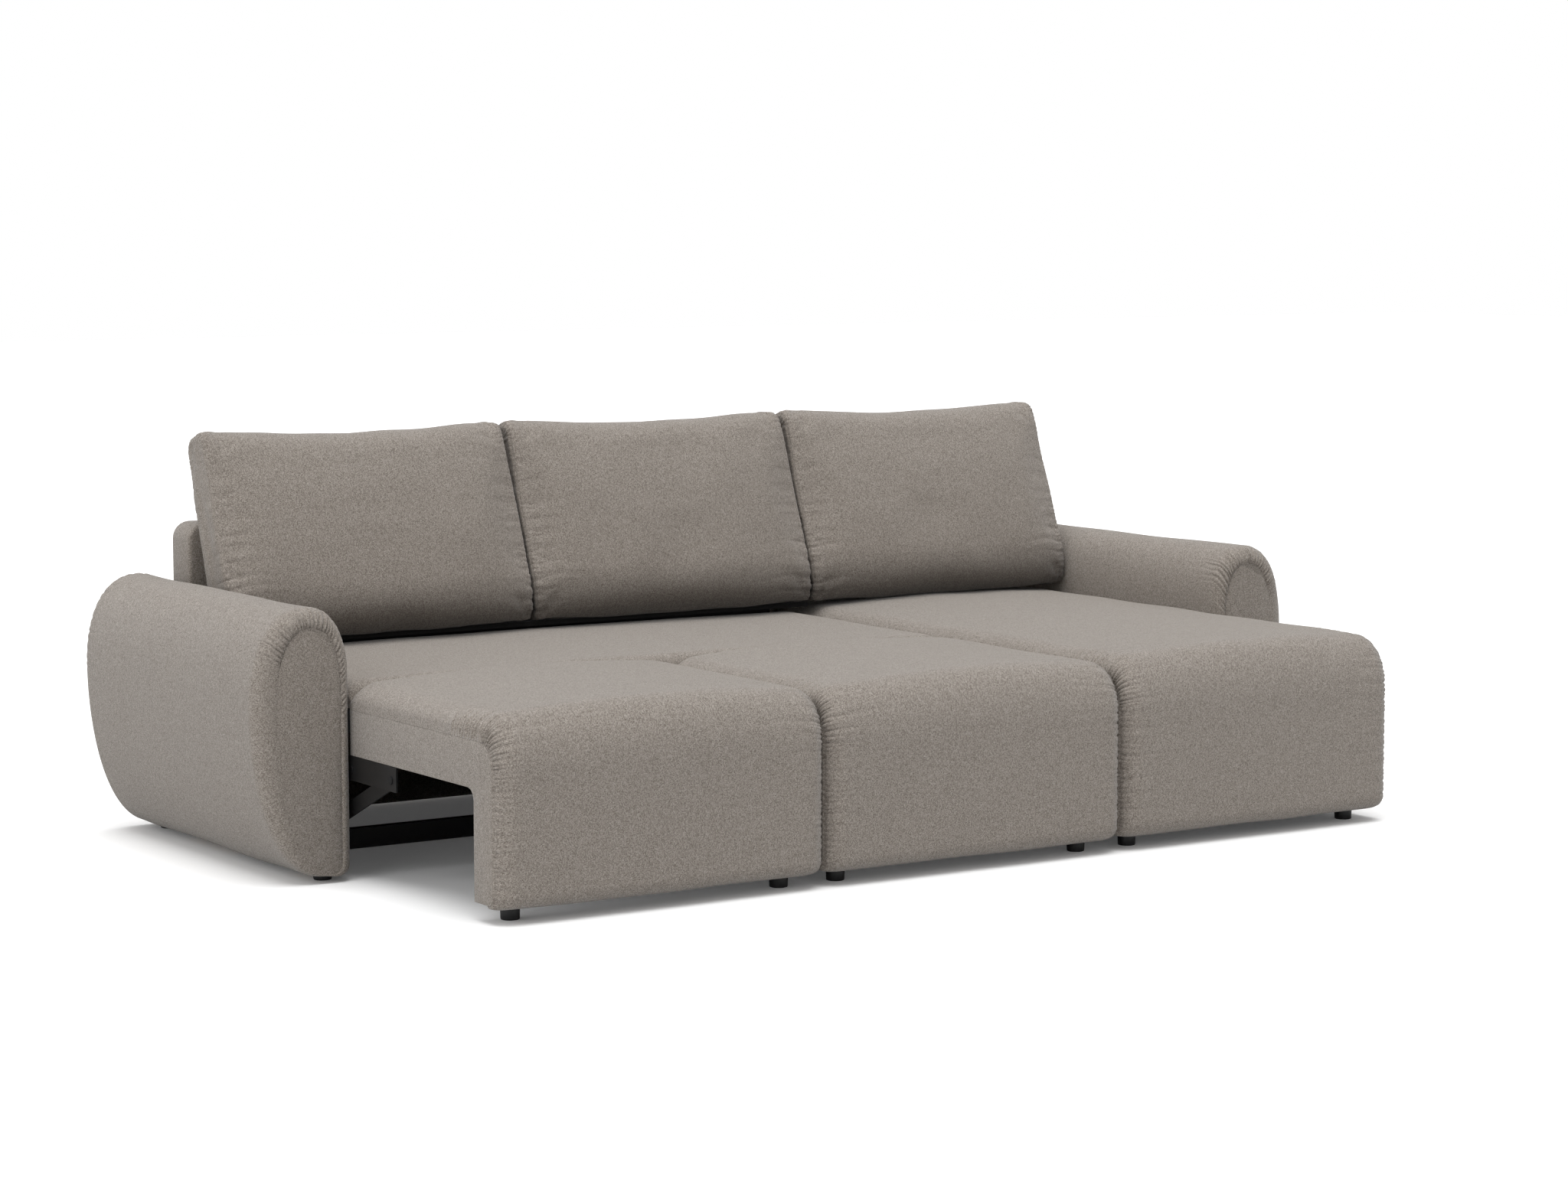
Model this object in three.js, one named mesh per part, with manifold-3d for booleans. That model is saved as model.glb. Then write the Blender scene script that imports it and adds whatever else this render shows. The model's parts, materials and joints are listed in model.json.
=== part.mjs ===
// A sofa bed for three, shown with its bed pulled out. Two seat modules stand swung forward on
// paired levers, and the deck behind them has risen to the same height to make the bed.
// The chaise on the right, the two arms and the back stand still.
// Millimetres. X runs from left to right as seen from the front, Y from front to back, Z up.

import * as THREE from 'three';
import { mergeVertices } from 'three/addons/utils/BufferGeometryUtils.js';
import Module from 'manifold-3d';

const wasm = await Module();
wasm.setup();

// Plan of the whole sofa
const sofaDepth = 1600;
const moduleWidth = 810;
const moduleGap = 4;
const fitGap = 0.3;
const seatGap = 0.5;
const overrun = 40;

// Heights that the seats share
const seamHeight = 375;
const carcassBottom = 40;
const padBottom = 28;
const footInset = 72;
const footRadius = 20;
const footTopRadius = 21.5;
const footRearInset = 21;

// Seat pads and the timber carcasses under them
const frontPadThickness = 25;
const apronDepth = 90;
const seatBoxDepth = 100;
const seatLength = 645;
const seatRearSlant = 45;
const seatRearLip = 20;
const rearCheekThickness = 9;
const boardThickness = 18;
const seatBoardThickness = 12;
const carcassTopRadius = 60;
const carcassBottomRadius = 25;
const apronCornerRadius = 25;
const padWrapDepth = 36;
const padCrown = 74;
const padShoulder = 60;
const padSide = 15;
const padSideRadius = 55;
const padRearRadius = 26;
const padRearSide = 12;
const frontPadSide = 4;
const cornerCutDepth = 12;
const cornerCutShare = 0.62;
const footBlockMargin = 5;
const footBlockHeight = 60;
const frontPadShoulder = 23;
const underPadSide = 4;
const chaiseCrown = 82;
const chaiseShoulder = 71;

// How far the seat modules swing, and the levers that carry them
const travel = 620;
const swing = 132;
const basePivotHeight = 107;
const rearSeatPivotInset = 7;
const pivotSpacing = 185;
const deckLeverLength = 120;
const deckLeverLean = 8;
const leverWidth = 34;
const leverThickness = 5;
const pinRadius = 6;
const pinHoleGap = 0.6;
const pinHeadRadius = 9;
const pinHeadThickness = 2;
const ringThickness = 1.2;
const basePinReach = 8;
const sleeveRadius = 15;
const sleeveBoreRadius = 10;

// Steel plates beside the levers, stacked inward from the wall that they stand against
const seatPlateThickness = 4;
const seatPlateHeight = 54;
const seatPlateFlange = 30;
const seatPlateFrontReach = 24;
const seatPlateRearReach = 20;
const seatFlangeSetback = 5;
const basePlateThickness = 5;
const basePlateHeight = 46;
const basePlateBottom = 18;
const basePlateFrontReach = 38;
const basePlateEar = 22;
const basePlateEarSlope = 30;
const hangerThickness = 4;
const hangerLegWidth = 30;
const hangerBarHeight = 36;
const hangerReach = 75;
const hangerBarInset = 5;

// Deck that rises behind the seat modules
const creaseGap = 10;
const deckTop = 440;
const deckFrameDepth = 55;
const deckBayCount = 3;
const deckPadRadius = 40;
const deckPadLeastEdge = 3;
const deckPadSide = 26;
const deckPadShoulder = 61;
const rearClearance = 3;
const railThickness = 24;
const railLeverClearance = 3;

// Arms
const armDepth = 947;
const armBottom = 16;
const armTop = 602;
const armWidth = 227;
const armBulgeHeight = 388;
const armInnerRise = 140;
const armCrestOffset = 95;
const armFootWidth = 77;
const armCorner = 22;
const armSquareness = 0.88;
const armRounding = 36;
const archInnerInset = 24;
const archTopInset = 41;
const archOuterInset = 50;
const archFootInset = 8;
const archBottomInset = 4;
const archPanelThickness = 4;
const armBoardThickness = 20;
const armBoardCover = 9;
const armBoardHeight = 450;
const armBoardEndInset = 26;
const armFootOffset = 44;
const armFrontFootInset = 63;
const armRearFootInset = 75;

// Back
const backInset = 16;
const backThickness = 98;
const backBottom = 18;
const backTop = 720;
const backCorner = 40;
const backEdge = 9;
const backBoardThickness = 20;
const backBoardInset = 24;

// Back cushions and the ledge that carries them
const cushionBase = 458;
const cushionSideGap = 3;
const cushionTopNarrowing = 11;
const cushionBottomNarrowing = 7;
const cushionHeight = 503;
const cushionThickness = 100;
const cushionFrontCrown = 38;
const cushionBackCrown = 28;
const cushionLean = 20;
const cushionStand = 174;
const cushionCorner = 28;
const cushionTopSag = 15;
const cushionBottomSag = 4;
const cushionBulgePower = 2.4;
const ledgeThickness = 12;
const ledgeDepth = 180;
const ledgeAngleThickness = 3;
const ledgeAngleDrop = 46;
const ledgeAngleReach = 110;

// Bolts that join the two seat modules
const tieBoltRadius = 4;
const tieBoltHeadRadius = 8;
const tieBoltHeadThickness = 5;
const tieBoltEndInset = 90;

const roundSides = 16;
const cornerSteps = 6;

// Places worked out from the sizes above
const front = -sofaDepth / 2;
const rear = sofaDepth / 2;
const rad = THREE.MathUtils.degToRad;
const chaiseLeft = moduleWidth / 2;
const armLine = moduleWidth * 3 / 2;
const leftWall = -armLine - moduleGap / 2;
const rightWall = chaiseLeft + moduleGap / 2;
const carcassFront = front + frontPadThickness;
const apronRear = carcassFront + apronDepth;
const seatUnderside = seamHeight - seatBoxDepth;
const armFront = rear - armDepth;
const backFront = rear - backInset - backThickness;
const cushionWidth = moduleWidth - 2 * cushionSideGap;

const leverLength = travel / 2 / Math.sin(rad(swing / 2));
const leverRise = leverLength * Math.cos(rad(swing / 2));
const seatPivotHeight = basePivotHeight + leverRise;
const deckShift = deckLeverLength * (1 + Math.sin(rad(deckLeverLean)));
const deckRear = backFront - rearClearance - deckShift;
const seatRear = carcassFront + seatLength;
const deckFront = seatRear + creaseGap;
const aftSeatPivot = seatRear - rearSeatPivotInset;
const foreSeatPivot = aftSeatPivot - pivotSpacing;
const forePivot = foreSeatPivot + travel / 2;
const aftPivot = aftSeatPivot + travel / 2;
const deckPivotBack = -deckLeverLength * Math.sin(rad(deckLeverLean));
const deckPivotUp = deckLeverLength * Math.cos(rad(deckLeverLean));
const deckPivotHeight = basePivotHeight + deckPivotUp;
const deckUnderside = seamHeight - deckFrameDepth;

// Places across the mechanism, measured inward from the wall beside it
const basePlateIn = seatGap;
const basePlateOut = basePlateIn + basePlateThickness;
const seatPlateIn = seatGap + pinHeadThickness + fitGap;
const leverIn = seatPlateIn + seatPlateThickness + fitGap;
const leverOut = leverIn + leverThickness;
const deckSideIn = leverOut + ringThickness + 2 * fitGap;
const hangerIn = deckSideIn + boardThickness + fitGap;
const hangerOut = hangerIn + hangerThickness;
const deckArmIn = hangerOut + fitGap;
const deckArmOut = deckArmIn + leverThickness;

// Colours and finishes
const finishes = {
  fabric: [0x968a80, 0.95, 0],
  timber: [0xb08d62, 0.7, 0],
  steel: [0x34363a, 0.5, 0.8],
  bolt: [0x7c7f84, 0.35, 0.9],
  plastic: [0x121212, 0.55, 0],
};

const sofa = new THREE.Group();

function addPart(name, finish, geometry) {
  const [color, roughness, metalness] = finishes[finish];
  geometry.computeVertexNormals();
  const mesh = new THREE.Mesh(geometry, new THREE.MeshStandardMaterial({ color, roughness, metalness }));
  mesh.name = name;
  sofa.add(mesh);
}

// Closed solids, joined and cut
function toSolid(geometry) {
  const plain = geometry.clone();
  plain.deleteAttribute('normal');
  plain.deleteAttribute('uv');
  const merged = mergeVertices(plain);
  return new wasm.Manifold(new wasm.Mesh({
    numProp: 3,
    vertProperties: merged.attributes.position.array,
    triVerts: Uint32Array.from(merged.index.array),
  }));
}

function toGeometry(solid) {
  const { vertProperties, triVerts, numProp } = solid.getMesh();
  const geometry = new THREE.BufferGeometry();
  const points = [];
  for (let i = 0; i < vertProperties.length; i += numProp) points.push(...vertProperties.slice(i, i + 3));
  geometry.setAttribute('position', new THREE.Float32BufferAttribute(points, 3));
  geometry.setIndex(Array.from(triVerts));
  return geometry;
}

const cut = (body, ...tools) => tools.reduce((solid, tool) => solid.subtract(tool), body);
const join = (first, ...others) => others.reduce((solid, other) => solid.add(other), first);

function block(x0, x1, y0, y1, z0, z1) {
  const geometry = new THREE.BoxGeometry(x1 - x0, y1 - y0, z1 - z0);
  geometry.translate((x0 + x1) / 2, (y0 + y1) / 2, (z0 + z1) / 2);
  return toSolid(geometry);
}

// A flat outline of [y, z] points drawn out along X, with round holes [y, z, radius]
function plateAlongX(outline, x0, x1, holes = []) {
  const shape = new THREE.Shape(outline.map(([y, z]) => new THREE.Vector2(y, z)));
  for (const [y, z, radius] of holes) {
    shape.holes.push(new THREE.Path().absarc(y, z, radius, 0, 2 * Math.PI, true));
  }
  const depth = Math.abs(x1 - x0);
  const geometry = new THREE.ExtrudeGeometry(shape, {
    depth, bevelEnabled: false, curveSegments: roundSides / 2,
  });
  geometry.applyMatrix4(new THREE.Matrix4().makeBasis(
    new THREE.Vector3(0, 1, 0), new THREE.Vector3(0, 0, 1), new THREE.Vector3(1, 0, 0),
  ));
  geometry.translate(Math.min(x0, x1), 0, 0);
  return toSolid(geometry);
}

function rodAlongX(y, z, radius, x0, x1) {
  const geometry = new THREE.CylinderGeometry(radius, radius, Math.abs(x1 - x0), roundSides);
  geometry.rotateZ(Math.PI / 2);
  geometry.translate((x0 + x1) / 2, y, z);
  return toSolid(geometry);
}

// A run of rings of the same count joined into one closed skin, its two ends flat
function loft(rings, flat) {
  const count = rings[0].length;
  const index = [];
  for (let ring = 0; ring + 1 < rings.length; ring += 1) {
    for (let k = 0; k < count; k += 1) {
      const a = ring * count + k;
      const b = ring * count + (k + 1) % count;
      index.push(a, b, b + count, a, b + count, a + count);
    }
  }
  const addEnd = (ring, forward) => {
    const outline = rings[ring].map(flat);
    const way = THREE.ShapeUtils.area(outline) > 0;
    for (const [a, b, c] of THREE.ShapeUtils.triangulateShape(outline, [])) {
      const same = (THREE.ShapeUtils.area([outline[a], outline[b], outline[c]]) > 0) === way;
      const corners = same === forward ? [a, b, c] : [c, b, a];
      index.push(...corners.map((corner) => corner + ring * count));
    }
  };
  addEnd(0, false);
  addEnd(rings.length - 1, true);
  const points = rings.flat();
  let volume = 0;
  for (let i = 0; i < index.length; i += 3) {
    const [a, b, c] = index.slice(i, i + 3).map((corner) => points[corner]);
    volume += a.dot(b.clone().cross(c));
  }
  if (volume < 0) index.reverse();
  const geometry = new THREE.BufferGeometry();
  geometry.setAttribute('position', new THREE.Float32BufferAttribute(points.flatMap((p) => p.toArray()), 3));
  geometry.setIndex(index);
  return toSolid(geometry);
}

// Points of an elliptical arc in a plane, from one angle to another, in degrees
function arc(cx, cy, rx, ry, from, to, steps) {
  return Array.from({ length: steps + 1 }, (_, i) => {
    const angle = rad(from + (to - from) * i / steps);
    return [cx + rx * Math.cos(angle), cy + ry * Math.sin(angle)];
  });
}

// Distance from the wall beside the mechanism, turned into X on the left or the right side
const sides = { left: (inward) => leftWall + inward, right: (inward) => rightWall - inward };

// Seat carcasses: a timber seat box with a boxed apron below its front edge
// Sections across a seat from side to side, close together where its edges are rounded
function stationsAcross(x0, x1) {
  const half = (x1 - x0) / 2;
  const shares = [0, 0.09, 0.3, cornerCutShare, 1];
  const near = shares.map((share) => share * padSideRadius);
  const steps = [...near, (padSideRadius + half) / 2, half];
  const mirrored = steps.slice(0, -1).reverse().map((step) => 2 * half - step);
  return [...steps, ...mirrored].map((step) => {
    const fromSide = Math.min(step, 2 * half - step);
    return { x: x0 + step, fromSide, half };
  });
}

const moduleFootY = apronRear - footRearInset;
const cornerCutWidth = cornerCutShare * padSideRadius;
const cornerRecess = (fromSide) => cornerCutDepth * Math.max(0, 1 - fromSide / cornerCutWidth);

function carcassOutline(yRear, isChaise, recess) {
  const outline = [
    ...arc(carcassFront + carcassTopRadius, seamHeight - carcassTopRadius,
      carcassTopRadius - recess, carcassTopRadius, 180, 90, cornerSteps),
    [yRear, seamHeight],
  ];
  if (isChaise) outline.push([yRear, carcassBottom]);
  else {
    outline.push([yRear, seamHeight - seatRearLip], [yRear - seatRearSlant, seatUnderside]);
    outline.push(...arc(apronRear + apronCornerRadius, seatUnderside - apronCornerRadius,
      apronCornerRadius, apronCornerRadius, 90, 180, cornerSteps / 2));
    outline.push([apronRear, carcassBottom]);
  }
  outline.push(...arc(carcassFront + carcassBottomRadius, carcassBottom + carcassBottomRadius,
    carcassBottomRadius - recess, carcassBottomRadius, 270, 180, cornerSteps / 2));
  return outline;
}

function carcassBody(x0, x1, yRear, isChaise) {
  const rings = stationsAcross(x0, x1).map(({ x, fromSide }) => (
    carcassOutline(yRear, isChaise, cornerRecess(fromSide)).map(([y, z]) => new THREE.Vector3(x, y, z))));
  return loft(rings, (point) => new THREE.Vector2(point.y, point.z));
}

function moduleCarcass(x0, x1) {
  const body = carcassBody(x0, x1, seatRear, false);
  const innerFront = carcassFront + boardThickness;
  const innerRear = seatRear - boardThickness;
  const hollow = plateAlongX([
    [innerFront, carcassBottom + boardThickness],
    [apronRear + overrun, carcassBottom + boardThickness],
    [apronRear + overrun, seatUnderside - overrun],
    [innerRear - seatRearSlant, seatUnderside - overrun],
    [innerRear - seatRearSlant, seatUnderside],
    [innerRear, seamHeight - seatRearLip],
    [innerRear, seamHeight - seatBoardThickness],
    [innerFront + carcassTopRadius, seamHeight - seatBoardThickness],
    [innerFront, seamHeight - carcassTopRadius],
  ], x0 + boardThickness, x1 - boardThickness);
  return cut(body, hollow);
}

// Beside the deck, a thin cheek keeps the rear end of an outer side board square
function rearCheek(x0, x1) {
  return plateAlongX([
    [seatRear - seatRearSlant - boardThickness, seatUnderside],
    [seatRear, seatUnderside],
    [seatRear, seamHeight - seatRearLip],
    [seatRear - boardThickness, seamHeight - seatRearLip],
  ], x0, x1);
}

function chaiseCarcass(x0, x1, yRear) {
  const body = carcassBody(x0, x1, yRear, true);
  const innerFront = carcassFront + boardThickness;
  const middle = (innerFront + yRear) / 2;
  const bays = [[innerFront, middle - boardThickness], [middle, yRear - boardThickness]];
  const hollows = bays.map(([y0, y1]) => block(x0 + boardThickness, x1 - boardThickness, y0, y1,
    carcassBottom - overrun, seamHeight - seatBoardThickness - (y0 === innerFront ? boardThickness : 0)));
  const reach = footInset + footTopRadius + footBlockMargin;
  const edge = boardThickness / 2;
  const frontY = [carcassFront + carcassBottomRadius, moduleFootY + footTopRadius + footBlockMargin];
  const rearY = [yRear - reach, yRear - edge];
  const footBlocks = [[x0 + edge, x0 + reach], [x1 - reach, x1 - edge]].flatMap((x) => [frontY, rearY]
    .map((y) => block(...x, ...y, carcassBottom, carcassBottom + footBlockHeight)));
  return join(cut(body, ...hollows), ...footBlocks);
}

// Seat pads: one cushion that runs over the seat and down the front of the apron.
// Its thickness swells from the side seam to a shoulder and then to the crown.
function swell(fromSide, half, side, shoulder, crown) {
  if (fromSide >= padSideRadius) {
    const t = (half - fromSide) / (half - padSideRadius);
    return crown + (shoulder - crown) * t * t;
  }
  const t = 1 - fromSide / padSideRadius;
  return side + (shoulder - side) * Math.sqrt(1 - t * t);
}

// Samples round a bend, where the pad's skin is an ellipse about the bend's centre
function bend([cy, cz], radius, from, to, steps, across, upright) {
  return arc(0, 0, 1, 1, from, to, steps).map(([ny, nz]) => {
    const thick = (key) => 1 / Math.hypot(ny / (radius + across[key]), nz / (radius + upright[key])) - radius;
    const zone = { side: thick('side'), shoulder: thick('shoulder'), crown: thick('crown') };
    return { y: cy + radius * ny, z: cz + radius * nz, ny, nz, zone };
  });
}

function seatPad(x0, x1, yRear, shoulder, crown) {
  const top = { side: padSide, shoulder, crown };
  const face = { side: frontPadSide, shoulder: frontPadShoulder, crown: frontPadThickness };
  const under = { side: underPadSide, shoulder: carcassBottom - padBottom, crown: carcassBottom - padBottom };
  const samples = [];
  for (const share of [0, 0.1, 0.4, 1]) {
    const t = Math.sqrt(1 - (1 - share) ** 2);
    const zone = {
      side: padRearSide,
      shoulder: padRearSide + (top.shoulder - padRearSide) * t,
      crown: padRearSide + (crown - padRearSide) * t,
    };
    samples.push({ y: yRear - share * padRearRadius, z: seamHeight, ny: 0, nz: 1, zone });
  }
  const topBend = [carcassFront + carcassTopRadius, seamHeight - carcassTopRadius];
  samples.push({ y: (yRear + topBend[0]) / 2, z: seamHeight, ny: 0, nz: 1, zone: top });
  samples.push(...bend(topBend, carcassTopRadius, 90, 180, cornerSteps, face, top));
  const lowBend = [carcassFront + carcassBottomRadius, carcassBottom + carcassBottomRadius];
  samples.push({ y: carcassFront, z: (topBend[1] + lowBend[1]) / 2, ny: -1, nz: 0, zone: face });
  samples.push(...bend(lowBend, carcassBottomRadius, 180, 270, cornerSteps / 2, face, under));
  samples.push({ y: carcassFront + padWrapDepth, z: carcassBottom, ny: 0, nz: -1, zone: under });
  const rings = stationsAcross(x0, x1).map(({ x, fromSide, half }) => {
    const recess = cornerRecess(fromSide);
    const at = (sample, out) => new THREE.Vector3(x,
      sample.y + sample.ny * (out - recess), sample.z + sample.nz * out);
    const outer = samples.map((sample) => at(sample,
      swell(fromSide, half, sample.zone.side, sample.zone.shoulder, sample.zone.crown)));
    const inner = samples.filter((sample, i) => i === 0 || i > 3).map((sample) => at(sample, fitGap));
    return [...outer, ...inner.reverse()];
  });
  return loft(rings, (point) => new THREE.Vector2(point.y, point.z));
}

// Feet, turned from black plastic
function foot(x, y, top) {
  const geometry = new THREE.CylinderGeometry(footTopRadius, footRadius, top, roundSides);
  geometry.rotateX(Math.PI / 2);
  geometry.translate(x, y, top / 2);
  return toSolid(geometry);
}

const moduleFootTop = carcassBottom - fitGap;

const modules = [
  { name: 'module_left', x: -moduleWidth, outerSide: 'left' },
  { name: 'module_middle', x: 0, outerSide: 'right' },
];
const tieBoltPlaces = { front: apronRear + tieBoltEndInset, rear: seatRear - tieBoltEndInset };
const tieBoltX = -moduleWidth / 2;
const tieBoltHeight = seatUnderside + seatBoxDepth / 2;
for (const { name, x, outerSide } of modules) {
  const x0 = x - moduleWidth / 2 + moduleGap / 2;
  const x1 = x + moduleWidth / 2 - moduleGap / 2;
  const cheek = outerSide === 'left' ? [x0, x0 + rearCheekThickness] : [x1 - rearCheekThickness, x1];
  addPart(`${name}_pad`, 'fabric', toGeometry(seatPad(x0, x1, seatRear, padShoulder, padCrown)));
  const tieHoles = Object.values(tieBoltPlaces).map((y) => rodAlongX(y, tieBoltHeight,
    tieBoltRadius + fitGap, tieBoltX - overrun, tieBoltX + overrun));
  addPart(`${name}_carcass`, 'fabric',
    toGeometry(join(cut(moduleCarcass(x0, x1), ...tieHoles), rearCheek(...cheek))));
  addPart(`${name}_foot_left`, 'plastic', toGeometry(foot(x0 + footInset, moduleFootY, moduleFootTop)));
  addPart(`${name}_foot_right`, 'plastic', toGeometry(foot(x1 - footInset, moduleFootY, moduleFootTop)));
}

for (const [end, y] of Object.entries(tieBoltPlaces)) {
  const reach = moduleGap / 2 + boardThickness + fitGap;
  const heads = [-1, 1].map((way) => rodAlongX(y, tieBoltHeight, tieBoltHeadRadius,
    tieBoltX + way * reach, tieBoltX + way * (reach + tieBoltHeadThickness)));
  const shank = rodAlongX(y, tieBoltHeight, tieBoltRadius, tieBoltX - reach, tieBoltX + reach);
  addPart(`module_tie_bolt_${end}`, 'bolt', toGeometry(join(shank, ...heads)));
}

// Chaise
const chaiseX0 = chaiseLeft + moduleGap / 2;
const chaiseX1 = armLine - moduleGap / 2;
const chaiseRear = backFront - rearClearance;
addPart('chaise_pad', 'fabric',
  toGeometry(seatPad(chaiseX0, chaiseX1, chaiseRear, chaiseShoulder, chaiseCrown)));
addPart('chaise_carcass', 'fabric', toGeometry(chaiseCarcass(chaiseX0, chaiseX1, chaiseRear)));
for (const [side, x] of [['left', chaiseX0 + footInset], ['right', chaiseX1 - footInset]]) {
  addPart(`chaise_foot_front_${side}`, 'plastic', toGeometry(foot(x, moduleFootY, moduleFootTop)));
  addPart(`chaise_foot_rear_${side}`, 'plastic', toGeometry(foot(x, chaiseRear - footInset, moduleFootTop)));
}

// Levers: on each base pin a long arm reaches up to the seat plate. A short sleeve turns with it
// round the same pin, and its own short arm reaches up to the deck.
function bar([y0, z0], [y1, z1], halfWidth) {
  const turn = THREE.MathUtils.radToDeg(Math.atan2(z1 - z0, y1 - y0));
  return [
    ...arc(y0, z0, halfWidth, halfWidth, turn + 90, turn + 270, roundSides / 2),
    ...arc(y1, z1, halfWidth, halfWidth, turn - 90, turn + 90, roundSides / 2),
  ];
}

function lever(base, end, x0, x1, holed) {
  const holes = holed.map(([y, z]) => rodAlongX(y, z, pinRadius + pinHoleGap, x0 - overrun, x1 + overrun));
  return cut(plateAlongX(bar(base, end, leverWidth / 2), x0, x1), ...holes);
}

for (const [name, pivotY] of [['fore', forePivot], ['aft', aftPivot]]) {
  const base = [pivotY, basePivotHeight];
  const seatEnd = [pivotY - travel / 2, seatPivotHeight];
  const deckEnd = [pivotY + deckPivotBack, deckPivotHeight];
  for (const side of ['left', 'right']) {
    const x = sides[side];
    const arm = lever(base, seatEnd, x(leverIn), x(leverOut), [base, seatEnd]);
    addPart(`${name}_lever_${side}`, 'steel', toGeometry(arm));
    const sleeve = rodAlongX(...base, sleeveRadius, x(leverOut + fitGap), x(deckArmOut));
    const deckArm = lever(base, deckEnd, x(deckArmIn), x(deckArmOut), [deckEnd]);
    const bore = rodAlongX(...base, sleeveBoreRadius, x(leverOut - overrun), x(deckArmOut + overrun));
    addPart(`${name}_rocker_${side}`, 'steel', toGeometry(cut(join(sleeve, deckArm), bore)));
  }
}

// Base: a steel plate along each side and one rail between them
const basePlateFront = forePivot - basePlateFrontReach;
const basePlateRear = backFront - rearClearance;
const railFront = forePivot + deckLeverLength + leverWidth / 2 + railLeverClearance;
for (const side of ['left', 'right']) {
  const barTop = basePlateBottom + basePlateHeight;
  const earTop = basePivotHeight + basePlateEar;
  const outline = [
    [basePlateFront, basePlateBottom],
    [basePlateRear, basePlateBottom],
    [basePlateRear, barTop],
    [aftPivot + basePlateEar + basePlateEarSlope, barTop],
    [aftPivot + basePlateEar, earTop],
    [forePivot - basePlateEar, earTop],
    [basePlateFront, barTop],
  ];
  const studs = [forePivot, aftPivot].map((y) => join(
    rodAlongX(y, basePivotHeight, pinRadius, sides[side](basePlateIn), sides[side](leverOut + basePinReach)),
    rodAlongX(y, basePivotHeight, pinHeadRadius, sides[side](leverOut + 2 * fitGap),
      sides[side](leverOut + 2 * fitGap + ringThickness)),
  ));
  const plate = plateAlongX(outline, sides[side](basePlateIn), sides[side](basePlateOut));
  addPart(`base_plate_${side}`, 'steel', toGeometry(join(plate, ...studs)));
}
addPart('base_cross_rail', 'steel', toGeometry(block(
  sides.left(basePlateOut + fitGap), sides.right(basePlateOut + fitGap),
  railFront, railFront + railThickness, basePlateBottom, basePlateBottom + basePlateHeight,
)));

// Seat plates: angles screwed under the outer seat boards, which the long lever arms carry
for (const side of ['left', 'right']) {
  const x = (inward) => sides[side](inward);
  const y0 = foreSeatPivot - seatPlateFrontReach;
  const y1 = aftSeatPivot + seatPlateRearReach;
  const z1 = seatUnderside - fitGap;
  const span = (a, b) => [Math.min(x(a), x(b)), Math.max(x(a), x(b))];
  const web = block(...span(seatPlateIn, seatPlateIn + seatPlateThickness), y0, y1, z1 - seatPlateHeight, z1);
  const flange = block(...span(seatPlateIn, seatPlateIn + seatPlateFlange),
    y0, seatRear - seatRearSlant - seatFlangeSetback, z1 - seatPlateThickness, z1);
  const holes = [foreSeatPivot, aftSeatPivot].map((y) => rodAlongX(y, seatPivotHeight, pinRadius + fitGap,
    x(-overrun), x(overrun)));
  addPart(`seat_plate_${side}`, 'steel', toGeometry(cut(join(web, flange), ...holes)));
}

// Pins, each with a head at one end and a retaining ring at the other
function pin(side, y, z, headIn, headThickness, ringIn, reach) {
  const x = sides[side];
  return join(
    rodAlongX(y, z, pinRadius, x(headIn), x(reach)),
    rodAlongX(y, z, pinHeadRadius, x(ringIn), x(ringIn + ringThickness)),
    rodAlongX(y, z, pinHeadRadius, x(headIn), x(headIn + headThickness)),
  );
}

for (const side of ['left', 'right']) {
  for (const [name, pivotY] of [['fore', forePivot], ['aft', aftPivot]]) {
    addPart(`seat_pin_${name}_${side}`, 'bolt', toGeometry(pin(side, pivotY - travel / 2, seatPivotHeight,
      seatGap, pinHeadThickness, leverOut + fitGap, leverOut + fitGap + ringThickness)));
    addPart(`deck_pin_${name}_${side}`, 'bolt', toGeometry(pin(side, pivotY + deckPivotBack, deckPivotHeight,
      hangerIn - fitGap - ringThickness, ringThickness, deckArmOut + fitGap,
      deckArmOut + fitGap + ringThickness)));
  }
}

// Deck: a shallow timber frame under a wide pad, hung on the short lever arms
const deckX = [sides.left(deckSideIn), sides.right(deckSideIn)];
const deckBayWidth = (deckX[1] - deckX[0] - boardThickness) / deckBayCount;
const deckBays = Array.from({ length: deckBayCount }, (_, bay) => block(
  deckX[0] + boardThickness + bay * deckBayWidth, deckX[0] + (bay + 1) * deckBayWidth,
  deckFront + boardThickness, deckRear - boardThickness,
  deckUnderside - overrun, seamHeight - seatBoardThickness,
));
addPart('deck_frame', 'fabric', toGeometry(cut(
  block(...deckX, deckFront, deckRear, deckUnderside, seamHeight - fitGap), ...deckBays)));

function deckRing(x, thickness) {
  const radius = Math.min(deckPadRadius, thickness - deckPadLeastEdge);
  const top = seamHeight + thickness;
  return [
    [deckFront, seamHeight],
    ...arc(deckFront + deckPadRadius, top - radius, deckPadRadius, radius, 180, 90, cornerSteps),
    ...arc(deckRear - deckPadRadius, top - radius, deckPadRadius, radius, 90, 0, cornerSteps),
    [deckRear, seamHeight],
  ].map(([y, z]) => new THREE.Vector3(x, y, z));
}
const deckRings = stationsAcross(...deckX).map(({ x, fromSide, half }) => deckRing(x,
  swell(fromSide, half, deckPadSide, deckPadShoulder, deckTop - seamHeight)));
addPart('deck_pad', 'fabric', toGeometry(loft(deckRings, (point) => new THREE.Vector2(point.y, point.z))));

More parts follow.
